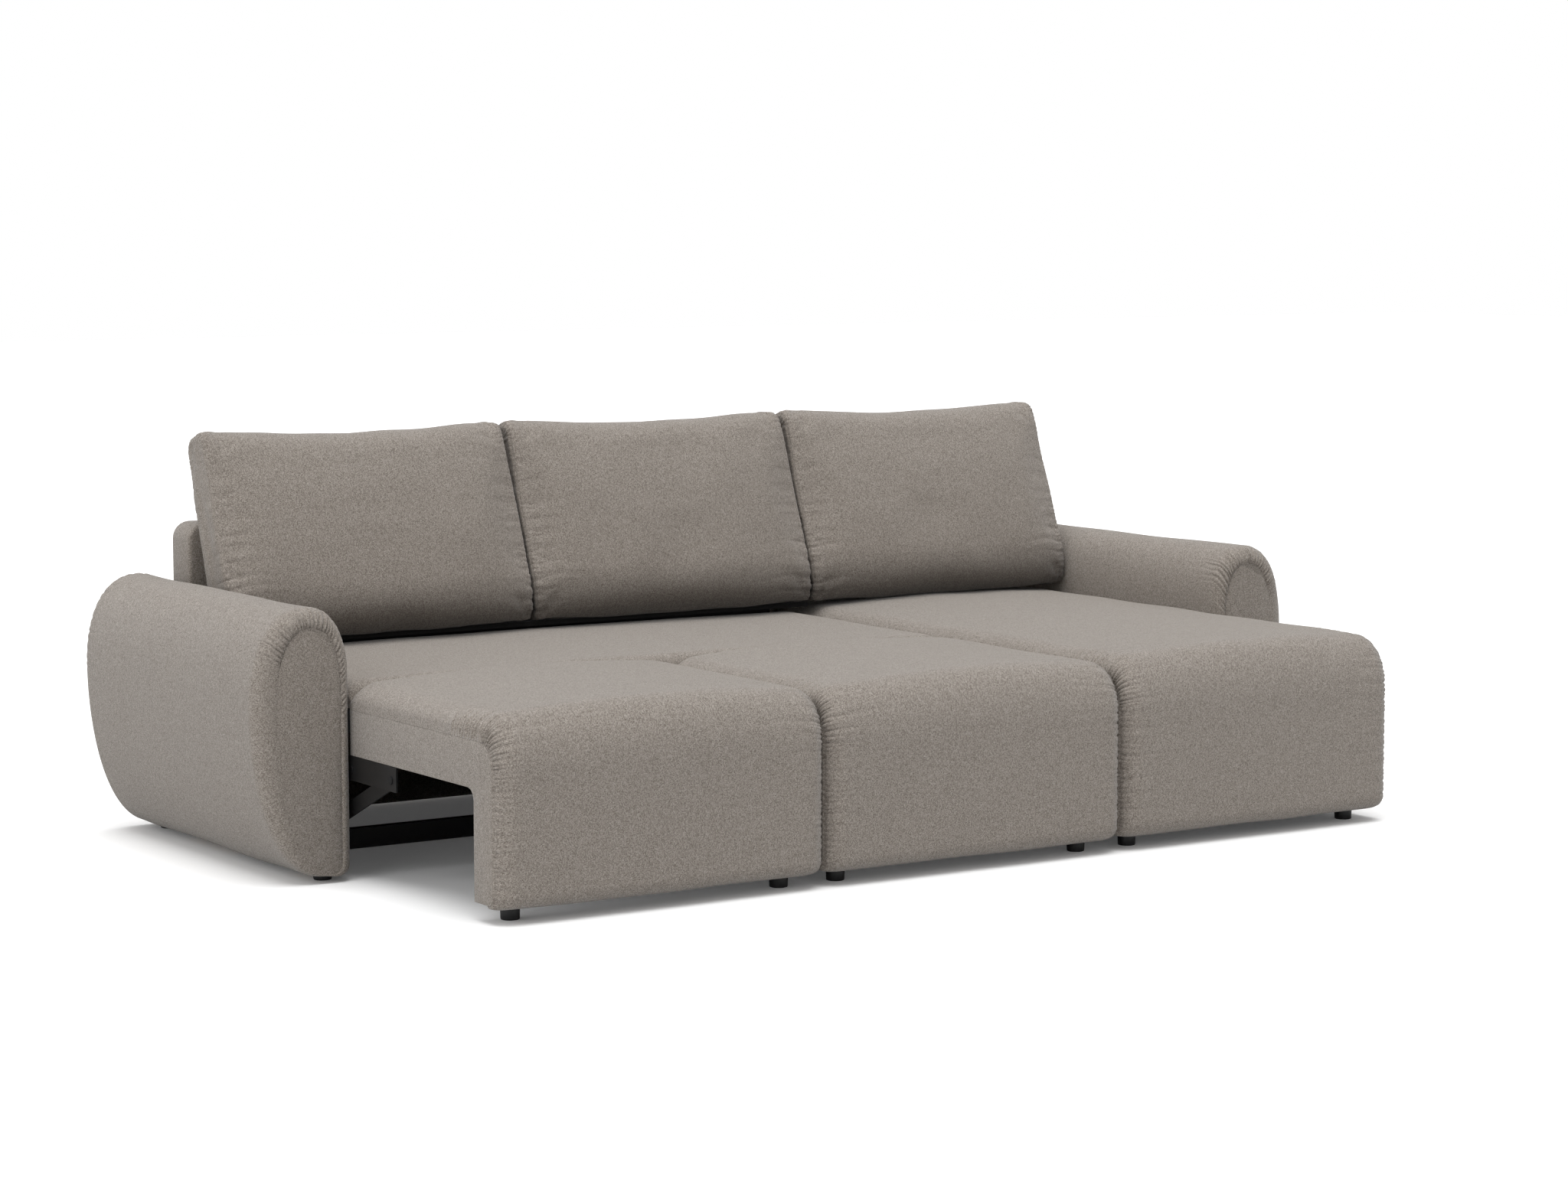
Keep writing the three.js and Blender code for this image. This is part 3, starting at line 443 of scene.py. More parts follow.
def slow_waves(points, size, seed):
    """Values from about -1 to 1 that change slowly over a set of points."""
    draw = np.random.default_rng(seed)
    total = np.zeros(points.shape[:-1])
    for _ in range(WAVES):
        way = draw.normal(size=3)
        way /= np.linalg.norm(way)
        turns = draw.uniform(*WAVE_SIZES) * TURN / size
        total += np.sin(points @ way * turns + draw.uniform(0, TURN))
    return total / math.sqrt(WAVES)


def gathers(along, away, strength, pitch, height, reach, seed, level=FOLD_LEVEL):
    """Heights of the small folds where a longer cloth is eased into a seam.

    They repeat along the seam every pitch or so and die out over reach as they run away from it.
    At a level of 1 they only dip below the surface, and at 0 they only stand above it.
    """
    draw = np.random.default_rng(seed)
    count = int(np.max(along) / pitch * SPARE_FOLDS) + 4
    steps = pitch * draw.uniform(*STEP_SIZES, count)
    knots = np.cumsum(steps) - pitch
    sizes = draw.uniform(*FOLD_SIZES, count)
    lengths = reach * draw.uniform(*FOLD_LENGTHS, count)
    swayed = along + SWAY * pitch * np.sin(away / (SWAY_LENGTH * reach) + along / (SWAY_PITCH * pitch))
    index = np.clip(np.searchsorted(knots, swayed) - 1, 0, count - 2)
    phase = np.clip((swayed - knots[index]) / (knots[index + 1] - knots[index]), 0, 1)
    puff = np.sin(math.pi * phase) ** FOLD_ROUNDNESS - level
    size = np.interp(swayed, knots, sizes)
    length = np.interp(swayed, knots, lengths)
    return height * strength * size * puff * np.exp(-(away / length) ** FOLD_FADE)


def ramp(values, start, end):
    """0 before start, 1 after end, smooth between; start may be the larger."""
    share = np.clip((values - start) / (end - start), 0, 1)
    return share * share * (3 - 2 * share)


# %% [markdown]
# A seat pad runs over the seat box and down its front in one piece of cloth. In side view it
# follows the box: a rounded rear edge, the flat top, the big front bend, the face and the small
# bend at the foot. At each place the padding swells from the side seam to a shoulder and on to
# the crown. The gathers sit along the side seams, round the bend and down the face.

# %% The seat pads' side view
SEAM = 375 * MM
BOX_FRONT = -775 * MM
BOX_FOOT = 40 * MM
TOP_BEND = 60 * MM
LOW_BEND = 25 * MM
SIDE_RADIUS = 55 * MM
REAR_RADIUS = 26 * MM
REAR_SIDE = 12 * MM
FIT = 0.3 * MM
RECESS = 12 * MM
RECESS_WIDTH = 34.1 * MM
FACE_PADDING = (4 * MM, 23 * MM, 25 * MM)
FOOT_PADDING = (4 * MM, 12 * MM, 12 * MM)
WRAP_DEPTH = 36 * MM
NEAR_BEND = 130 * MM
TOP_STEP = 16 * MM
REAR_STEPS, NEAR_STEPS, BEND_STEPS, FACE_STEPS, FOOT_STEPS = 9, 64, 110, 130, 22


def swell(from_side, half, padding):
    """Padding thickness across a pad, given at its side, its shoulder and its crown."""
    side, shoulder, crown = padding
    middle = (half - from_side) / (half - SIDE_RADIUS)
    crowned = crown + (shoulder - crown) * middle ** 2
    edge = np.clip(1 - from_side / SIDE_RADIUS, 0, 1)
    return side + (crowned - side) * np.sqrt(1 - edge ** 2)


def blend_bend(normal, radius, across, upright):
    """Padding round a bend, from the face's to the top's, so that the skin is an oval."""
    ny, nz = normal
    return tuple(1 / math.hypot(ny / (radius + a), nz / (radius + u)) - radius
                 for a, u in zip(across, upright))


def bend_samples(y, z, radius, turn, across, upright):
    """Samples round a bend of the box: turn holds its first and last angle and the steps."""
    samples = []
    for angle in np.radians(np.linspace(*turn)):
        ny, nz = math.cos(angle), math.sin(angle)
        padding = blend_bend((ny, nz), radius, across, upright)
        samples.append((y + radius * ny, z + radius * nz, ny, nz, padding))
    return samples


def pad_side_view(rear, top):
    """Samples down a pad's side view: centre, direction outward and padding."""
    samples = []
    for share in 1 - np.cos(np.linspace(0, math.pi / 2, REAR_STEPS)):
        grow = math.sqrt(1 - (1 - share) ** 2)
        padding = tuple(REAR_SIDE + (value - REAR_SIDE) * (grow if i else 0)
                        for i, value in enumerate(top))
        samples.append((rear - share * REAR_RADIUS, SEAM, 0, 1, padding))
    bend_y, bend_z = BOX_FRONT + TOP_BEND, SEAM - TOP_BEND
    far, near = rear - REAR_RADIUS, bend_y + NEAR_BEND
    for y in np.linspace(far, near, int((far - near) / TOP_STEP))[1:]:
        samples.append((y, SEAM, 0, 1, top))
    for y in np.linspace(near, bend_y, NEAR_STEPS)[1:-1]:
        samples.append((y, SEAM, 0, 1, top))
    samples += bend_samples(bend_y, bend_z, TOP_BEND, (90, 180, BEND_STEPS), FACE_PADDING, top)
    low_y, low_z = BOX_FRONT + LOW_BEND, BOX_FOOT + LOW_BEND
    for z in np.linspace(bend_z, low_z, FACE_STEPS)[1:-1]:
        samples.append((BOX_FRONT, z, -1, 0, FACE_PADDING))
    samples += bend_samples(low_y, low_z, LOW_BEND, (180, 270, FOOT_STEPS), FACE_PADDING, FOOT_PADDING)
    samples.append((BOX_FRONT + WRAP_DEPTH, BOX_FOOT, 0, -1, FOOT_PADDING))
    return samples


def stations(width, edge_steps=14, middle_steps=15):
    """Distances from the left side, close together over both rounded edges."""
    rounded = SIDE_RADIUS * (1 - np.cos(np.linspace(0, math.pi / 2, edge_steps)))
    middle = np.linspace(SIDE_RADIUS, width / 2, middle_steps)[1:]
    left = np.concatenate([rounded, middle])
    return np.concatenate([left, width - left[-2::-1]])


def close_grid(outer, inner):
    """Faces and points of a closed solid from an outer grid and a coarser inner one.

    Both have the same rows. The rows at both ends are closed with one face each.
    """
    rows, columns = outer.shape[:2]
    inner_columns = inner.shape[1]
    start = rows * columns
    faces = grid_faces(rows, columns) + grid_faces(rows, inner_columns, start)
    for row in range(rows - 1):
        for edge, inner_edge in ((0, 0), (columns - 1, inner_columns - 1)):
            a, b = row * columns + edge, (row + 1) * columns + edge
            c = start + (row + 1) * inner_columns + inner_edge
            d = start + row * inner_columns + inner_edge
            faces.append((a, b, c, d))
    for row in (0, rows - 1):
        there = [row * columns + i for i in range(columns)]
        back = [start + row * inner_columns + i for i in reversed(range(inner_columns))]
        faces.append(tuple(there + back))
    return np.concatenate([outer.reshape(-1, 3), inner.reshape(-1, 3)]), faces


# %% [markdown]
# Only the folds are drawn by chance. Each pad has its own seed, so no two are alike.

# %% The folds along a pad's sides
GATHER_PITCH = 12 * MM
GATHER_HEIGHT = 6.4 * MM
GATHER_REACH = 38 * MM
FIRST_GATHER, FULL_GATHER, LAST_GATHER = 240 * MM, 70 * MM, 60 * MM
CALMER_FROM, CALMER_TO, CALMER_BY = 130 * MM, 230 * MM, 0.4
BROADER = 2.7
BROAD_HEIGHT, BROAD_REACH, BROAD_LEVEL = 2.4 * MM, 2.6, 0.8
CRISP_SHARE, CRISP_REACH = 0.65, 16 * MM


def pad_gathers(path, away, samples, seed):
    """Folds along one side seam of a pad, strong round the bend and down the face."""
    bend_at = np.interp(BOX_FRONT + TOP_BEND, [s[0] for s in samples][::-1], path[::-1])
    strength = ramp(path, bend_at - FIRST_GATHER, bend_at - FULL_GATHER)
    strength = strength * ramp(path, path[-1], path[-1] - LAST_GATHER)
    strength *= 1 - CALMER_BY * ramp(path, bend_at + CALMER_FROM, bend_at + CALMER_TO)
    fine = gathers(path[:, None], away, strength[:, None], GATHER_PITCH, GATHER_HEIGHT,
                   GATHER_REACH, seed, level=1.0)
    broad = gathers(path[:, None], away, strength[:, None], BROADER * GATHER_PITCH, BROAD_HEIGHT,
                    BROAD_REACH * GATHER_REACH, seed + 1, level=BROAD_LEVEL)
    return fine * (1 - CRISP_SHARE + CRISP_SHARE * np.exp(-away / CRISP_REACH)) + broad


# %% [markdown]
# The skin of a pad is the box's side view with its padding added outward. The front's side edges
# are drawn in a little, the folds stand along the surface's own direction, and the underside is a
# coarse copy that fits the box.

# %% Build the seat pads
SIDE_INSET, INSET_REACH = 3 * MM, 14 * MM
PAD_WAVE, PAD_WAVE_SIZE = 0.9 * MM, 0.28
WAVES_FROM_SIDE = 40 * MM
FLAT_ENDS = 12 * MM
SIDE_CLEARANCE = 0.2 * MM
SEED_STEP = 10


def pad_underside(low_x, width, centre, out):
    """The inside of a pad, which follows the box and steps back at both sides."""
    columns = np.array([0, RECESS_WIDTH, width / 2, width - RECESS_WIDTH, width])
    recess = RECESS * np.clip(1 - np.minimum(columns, width - columns) / RECESS_WIDTH, 0, 1)
    inner = np.empty((len(centre), len(columns), 3))
    inner[..., 0] = low_x + np.clip(columns, SIDE_CLEARANCE, width - SIDE_CLEARANCE)
    inner[..., 1] = centre[:, :1] + out[:, :1] * (FIT - recess)
    inner[..., 2] = centre[:, 1:] + out[:, 1:] * FIT
    return inner


def build_pad(name, node, body, padding, seed):
    low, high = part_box(node)
    width = high.x - low.x
    samples = pad_side_view(high.y, padding)
    across = stations(width)
    from_side = np.minimum(across, width - across)
    recess = RECESS * np.clip(1 - from_side / RECESS_WIDTH, 0, 1)
    centre = np.array([(s[0], s[1]) for s in samples])
    out = np.array([(s[2], s[3]) for s in samples])
    thick = np.array([swell(from_side, width / 2, s[4]) for s in samples])
    outer = np.empty((len(samples), len(across), 3))
    on_face = ramp(centre[:, 1], SEAM, SEAM - TOP_BEND)[:, None]
    inset = SIDE_INSET * np.exp(-from_side / INSET_REACH) * on_face
    outer[..., 0] = low.x + across + np.sign(width / 2 - across) * inset
    outer[..., 1] = centre[:, :1] + out[:, :1] * (thick - recess)
    outer[..., 2] = centre[:, 1:] + out[:, 1:] * thick
    middle = len(across) // 2
    path = distance_along(outer[:, middle, 1:])
    normal = grid_normals(outer)
    agrees = np.sum(normal[:, middle, 1:] * out, axis=1)
    normal *= np.sign(agrees)[:, None, None]
    lift = pad_gathers(path, across[None, :], samples, seed)
    lift += pad_gathers(path, (width - across)[None, :], samples, seed + SEED_STEP)
    inside = np.clip(from_side / WAVES_FROM_SIDE, 0, 1)
    lift += PAD_WAVE * slow_waves(outer, PAD_WAVE_SIZE, seed + 2 * SEED_STEP) * inside
    edge_rows = np.clip(np.minimum(path, path[-1] - path) / FLAT_ENDS, 0, 1)[:, None]
    outer += normal * (lift * edge_rows)[..., None]
    outer[..., 0] = np.clip(outer[..., 0], low.x + SIDE_CLEARANCE, high.x - SIDE_CLEARANCE)
    inner = pad_underside(low.x, width, centre, out)
    make_piece(name, *close_grid(outer, inner), body, node)


MODULE_PADDING = (15 * MM, 60 * MM, 74 * MM)
CHAISE_PADDING = (15 * MM, 71 * MM, 82 * MM)
build_pad("left_seat_cover", "module_left_pad", "front_section", MODULE_PADDING, 11)
build_pad("middle_seat_cover", "module_middle_pad", "front_section", MODULE_PADDING, 47)
build_pad("chaise_cover", "chaise_pad", "frame", CHAISE_PADDING, 83)

# %% [markdown]
# The deck pad is a plain mattress behind the seats. Both long edges roll over, and it thins
# towards its two ends.

# %% Build the deck pad
DECK_PADDING = (26 * MM, 61 * MM, 65 * MM)
DECK_ROLL = 40 * MM
DECK_LEAST_EDGE = 3 * MM
DECK_ROLL_STEPS, DECK_STEPS, DECK_MIDDLE_STEPS = 14, 40, 26
DECK_WAVE, DECK_WAVE_SIZE, DECK_SEED = 0.8 * MM, 0.3, 131
LEVEL_FROM, LEVEL_FULL = 10 * MM, 60 * MM


def build_deck_pad():
    low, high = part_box("deck_pad")
    width = high.x - low.x
    across = stations(width, middle_steps=DECK_MIDDLE_STEPS)
    from_side = np.minimum(across, width - across)
    thick = swell(from_side, width / 2, DECK_PADDING)
    roll = np.minimum(DECK_ROLL, thick - DECK_LEAST_EDGE)
    rolled = [(DECK_ROLL * (1 - math.cos(lean)), thick - roll * (1 - math.sin(lean)))
              for lean in np.radians(np.linspace(0, 90, DECK_ROLL_STEPS))]
    rows = [(low.y + inward, height) for inward, height in rolled]
    rows += [(y, thick) for y in np.linspace(low.y + DECK_ROLL, high.y - DECK_ROLL, DECK_STEPS)[1:-1]]
    rows += [(high.y - inward, height) for inward, height in reversed(rolled)]
    outer = np.empty((len(rows), len(across), 3))
    outer[..., 0] = low.x + across
    outer[..., 1] = np.array([row[0] for row in rows])[:, None]
    outer[..., 2] = low.z + np.array([row[1] for row in rows])
    from_edge = np.minimum(outer[..., 1] - low.y, high.y - outer[..., 1])
    level = ramp(from_edge, LEVEL_FROM, LEVEL_FULL) * ramp(from_side, 0, LEVEL_FULL)
    outer[..., 2] += DECK_WAVE * slow_waves(outer, DECK_WAVE_SIZE, DECK_SEED) * level
    inner = outer[:, [0, -1]].copy()
    inner[..., 2] = low.z
    make_piece("deck_cover", *close_grid(outer, inner), "deck", "deck_pad")


build_deck_pad()

# %% [markdown]
# An arm is a fat rounded roll of padding over a board. Its cover is drawn round the front and
# stitched to an arched panel, and the spare cloth is gathered into that seam.

# %% The arms' outline
ARM_TOP = 602 * MM
ARM_BOTTOM = 16 * MM
ARM_WIDTH = 227 * MM
ARM_BULGE = 388 * MM
ARM_INNER_RISE = 140 * MM
ARM_CREST = 95 * MM
ARM_FOOT = 77 * MM
ARM_CORNER = 22 * MM
ARM_SQUARENESS = 0.88
ARM_ROUNDING = 36 * MM
ARCH_INSETS = {"inner": 24 * MM, "top": 41 * MM, "outer": 50 * MM, "foot": 8 * MM, "bottom": 4 * MM}
PANEL_THICKNESS = 4 * MM
CORNER_STEPS, INNER_STEPS, CREST_STEPS, SHOULDER_STEPS, BELLY_STEPS = 8, 86, 110, 130, 90


def oval_arc(cx, cz, rx, rz, start, end, steps, squareness=1.0):
    """Points on part of an oval, which comes nearer to a rectangle as squareness falls below 1."""
    angles = np.radians(np.linspace(start, end, steps))
    cosine, sine = np.cos(angles), np.sin(angles)
    return np.stack([cx + rx * np.sign(cosine) * np.abs(cosine) ** squareness,
                     cz + rz * np.sign(sine) * np.abs(sine) ** squareness], axis=1)


def arm_outline(inset):
    """The arm's cross section as (distance outward from the seats, height), all the way round."""
    inner, top, outer, foot, bottom = (inset * ARCH_INSETS[key]
                                       for key in ("inner", "top", "outer", "foot", "bottom"))
    top, bottom = ARM_TOP - top, ARM_BOTTOM + bottom
    outer, foot = ARM_WIDTH - outer, ARM_FOOT - foot
    low, high = bottom + ARM_CORNER, top - ARM_INNER_RISE
    upright = np.linspace(low, high, INNER_STEPS)[1:-1]
    return np.concatenate([
        oval_arc(inner + ARM_CORNER, low, ARM_CORNER, ARM_CORNER, 270, 180, CORNER_STEPS),
        np.stack([np.full_like(upright, inner), upright], axis=1),
        oval_arc(ARM_CREST, high, ARM_CREST - inner, ARM_INNER_RISE, 180, 90, CREST_STEPS,
                 ARM_SQUARENESS),
        oval_arc(ARM_CREST, ARM_BULGE, outer - ARM_CREST, top - ARM_BULGE, 90, 0, SHOULDER_STEPS,
                 ARM_SQUARENESS)[1:],
        oval_arc(foot, ARM_BULGE, outer - foot, ARM_BULGE - bottom, 0, -90, BELLY_STEPS)[1:],
    ])


# %% [markdown]
# The cover is a tube round the arm. Its first rings lie on the face, from the arched seam out to
# the rounded edge, then they run back along the arm. The folds start at the seam, so the distance
# along each line of the cover says how far they have died out.

# %% The folds round an arm
PLEAT_PITCH = 12 * MM
PLEAT_HEIGHT = 7 * MM
PLEAT_REACH = 34 * MM
FIRST_PLEAT_HEIGHT = 385 * MM
PLEATS_BEGIN = (-3 * MM, 9 * MM)
PLEATS_END = (215 * MM, 125 * MM)
SOFT_PITCH, SOFT_HEIGHT, SOFT_REACH = 2.7, 1.6 * MM, 2.2
REAR_BEGIN, REAR_END = (-80 * MM, 0.0), (330 * MM, 200 * MM)
REAR_PITCH, REAR_HEIGHT, REAR_REACH = 1.7, 7 * MM, 1.3
SEAM_DEPTH = 2.6 * MM
SEAM_WIDTH = 2.6 * MM
LOW_AT_SEAM, SEAM_RISE = 0.4, 6 * MM
FACE_PUFF, PUFF_RISE = 5 * MM, 4 * MM
PUFF_OUT, PUFF_FULL = 70 * MM, 15 * MM
DRAWN_UNTIL, FLUSH_FROM, FLUSH_SHARE = 120 * MM, 210 * MM, 0.9


def seam_strength(around, crest):
    """1 where the arched seam is drawn in: up the inner side and over the top. It lies flush below."""
    return 1 - FLUSH_SHARE * ramp(around, crest + DRAWN_UNTIL, crest + FLUSH_FROM)


def arm_pleats(full, around, crest, away, seed):
    """Folds that start at the arched seam in front and at the one behind."""
    rear_away = away[-1][None, :] - away
    rising = full[:np.argmax(full[:, 1])]
    begin = np.interp(FIRST_PLEAT_HEIGHT, rising[:, 1], around[:len(rising)])
    front = ramp(around, begin + PLEATS_BEGIN[0], begin + PLEATS_BEGIN[1])
    front = front * ramp(around, crest + PLEATS_END[0], crest + PLEATS_END[1])
    back = ramp(around, crest + REAR_BEGIN[0], crest + REAR_BEGIN[1])
    back = back * ramp(around, crest + REAR_END[0], crest + REAR_END[1])
    along, front, back = around[None, :], front[None, :], back[None, :]
    lift = gathers(along, away, front, PLEAT_PITCH, PLEAT_HEIGHT, PLEAT_REACH, seed)
    lift += gathers(along, away, front, SOFT_PITCH * PLEAT_PITCH, SOFT_HEIGHT,
                    SOFT_REACH * PLEAT_REACH, seed + 1)
    lift += gathers(along, rear_away, back, REAR_PITCH * PLEAT_PITCH, REAR_HEIGHT,
                    REAR_REACH * PLEAT_REACH, seed + 2)
    for from_seam in (away, rear_away):
        lift *= np.minimum(1, LOW_AT_SEAM + from_seam / SEAM_RISE)
    for from_seam in (away, rear_away):
        puff = FACE_PUFF * (1 - np.exp(-from_seam / PUFF_RISE)) * ramp(from_seam, PUFF_OUT, PUFF_FULL)
        lift += puff * seam_strength(around, crest)
    return lift


# %% [markdown]
# The arched panel is a thin domed patch inside the seam. Its rim dips into the seam where that is
# drawn in, and lies flush with the cover on the outer side, as the stuffing pushes both out there.

# %% Build the arms
END_STEPS, NEAR_END_STEPS, LENGTH_STEPS = 20, 18, 22
NEAR_END = 80 * MM
ARM_WAVE, ARM_WAVE_SIZE = 1.1 * MM, 0.3
CALM_FROM, CALM_FULL = 2 * MM, 30 * MM
PANEL_RINGS, PANEL_HEART, PANEL_HEART_DROP = 14, 0.02, 60 * MM
PANEL_SHARE, RIM_RISE, DOME_RISE = 0.992, 0.12, 0.86
STEEP_RIM, SOFT_RIM = 10, 2


def arm_stations(depth):
    """Places along an arm from its seam at one end to the other: depth in, and how full it is."""
    turn = np.linspace(0, math.pi / 2, END_STEPS)
    half = [(ARM_ROUNDING * (1 - math.cos(a)), math.sin(a)) for a in turn]
    near = np.linspace(ARM_ROUNDING, ARM_ROUNDING + NEAR_END, NEAR_END_STEPS)[1:]
    half += [(d, 1.0) for d in near]
    middle = [(d, 1.0) for d in np.linspace(half[-1][0], depth - half[-1][0], LENGTH_STEPS)[1:-1]]
    return half + middle + [(depth - d, share) for d, share in reversed(half)]


def build_arch_panel(name, wall, side, face_y, way, drawn_in):
    arch = arm_outline(1)
    heart = np.array([ARM_CREST, ARM_BULGE - PANEL_HEART_DROP])
    shares = 1 - np.linspace(1, 0, PANEL_RINGS) ** 2
    shares[0] = PANEL_HEART
    rings = []
    for share in shares:
        ring = heart + (arch - heart) * share * PANEL_SHARE
        dome = drawn_in * (1 - share ** STEEP_RIM) + (1 - drawn_in) * (1 - share ** SOFT_RIM) ** 2
        rise = PANEL_THICKNESS * (RIM_RISE + DOME_RISE * dome)
        rings.append(np.stack([wall + side * ring[:, 0], face_y + way * rise, ring[:, 1]], axis=1))
    back = rings[-1].copy()
    back[:, 1] = face_y + way * FIT
    grid = np.array(rings + [back])
    make_piece(f"{name}_arch_cover", grid.reshape(-1, 3), tube_faces(*grid.shape[:2]), "frame",
               f"{name}_panel")


def build_arm(name, side, seed):
    low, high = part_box(f"{name}_upholstery")
    wall = high.x if side < 0 else low.x
    full, arch = arm_outline(0), arm_outline(1)
    places = arm_stations(high.y - low.y)
    grid = np.empty((len(places), len(full), 3))
    for row, (depth, share) in enumerate(places):
        section = arch + (full - arch) * share
        grid[row, :, 0] = wall + side * section[:, 0]
        grid[row, :, 1] = low.y + depth
        grid[row, :, 2] = section[:, 1]
    around = distance_along(full)
    crest = around[np.argmax(full[:, 1])]
    normal = grid_normals(grid, wrap=True)
    middle = len(places) // 2
    centre = np.array([wall + side * ARM_WIDTH / 2, 0, ARM_TOP / 2])
    normal *= np.sign(np.sum(normal[middle] * (grid[middle] - centre) * [1, 0, 1]))
    lift = arm_pleats(full, around, crest, distance_along(grid), seed)
    calm = ramp(full[:, 0], CALM_FROM, CALM_FULL)[None, :]
    lift += ARM_WAVE * slow_waves(grid, ARM_WAVE_SIZE, seed + 3) * calm
    grid += normal * lift[..., None]
    limit = wall + side * SIDE_CLEARANCE
    grid[..., 0] = side * np.maximum(side * grid[..., 0], side * limit)
    piece = make_piece(f"{name}_cover", grid.reshape(-1, 3), tube_faces(*grid.shape[:2]), "frame",
                       f"{name}_upholstery")
    for end, face_y, way in (("front", low.y, -1), ("rear", high.y, 1)):
        build_arch_panel(f"{name}_{end}", wall, side, face_y, way, seam_strength(around, crest))


build_arm("arm_left", -1, 211)
build_arm("arm_right", 1, 307)

# %% [markdown]
# A back cushion leans on the back. One strip of cloth runs up its front, over the top and down
# behind, and a boxed side panel closes each end. The front swells most below the middle, the top
# dips between its two peaked corners, and the foot is pressed flat on the ledge and sags a little
# in front of it. The shape is one grid: its rows cross the left side panel, the strip and the right
# side panel, and each row runs once round the cushion.

# %% The back cushions' shape
CUSHION_BASE = 458 * MM
CUSHION_WIDTH = 804 * MM
CUSHION_HEIGHT = 503 * MM
CUSHION_HALF_DEPTH = 50 * MM
CUSHION_FULLNESS = 6 * MM
CUSHION_FOOT_BEND = 110 * MM
FOOT_SAG = 12 * MM
CUSHION_FRONT_CROWN = 34 * MM
CUSHION_BACK_CROWN = 14 * MM
CUSHION_FOOT_ROLL = 5 * MM
CUSHION_LEAN = math.radians(20)
CUSHION_FOOT_Y = 506 * MM
CUSHION_TOP_SAG = 16 * MM
CUSHION_SIDE_PUFF = 6 * MM
CUSHION_CORNERS = {"front foot": 72 * MM, "front top": 34 * MM,
                   "rear top": 30 * MM, "rear foot": 20 * MM}
FRONT_FOOT_STEPS, TOP_STEPS, REAR_FOOT_STEPS = 40, 20, 16
SIDE_PANEL_REACH = CUSHION_HALF_DEPTH
SEAM_PINCH_SHARE = 0.09
PINCH_WIDTH = 13 * MM
CROWN_POWER = 2.6
CROWN_POWER_BELOW = 1.7
LOW_CROWN_POWER = 0.78
FACING_SHARE = 0.6
ROLL_FROM, ROLL_FULL, ROLL_POWER = 0.36, 0.1, 6
EAR, EAR_WIDTH, EAR_FROM = 5 * MM, 10 * MM, 0.86
NARROWING, NARROW_TOP, NARROW_FOOT = 6 * MM, (0.3, 1.25), (0.2, -0.2)
SAG_REACH, SAG_FROM = 24 * MM, 0.24


def cushion_side_view():
    """The cushion's side as (forward, up along the lean), with the distance round it."""
    half, height = CUSHION_HALF_DEPTH, CUSHION_HEIGHT
    foot, top, rear_top, rear_foot = CUSHION_CORNERS.values()
    view = np.concatenate([
        oval_arc(half - foot, CUSHION_FOOT_BEND, foot, CUSHION_FOOT_BEND, -90, 0, FRONT_FOOT_STEPS),
        oval_arc(half - top, height - top, top, top, 0, 90, TOP_STEPS),
        oval_arc(rear_top - half, height - rear_top, rear_top, rear_top, 90, 180, TOP_STEPS),
        oval_arc(rear_foot - half, rear_foot, rear_foot, rear_foot, 180, 270, REAR_FOOT_STEPS),
    ])
    view = np.concatenate([view, view[:1]])
    return view, distance_along(view)


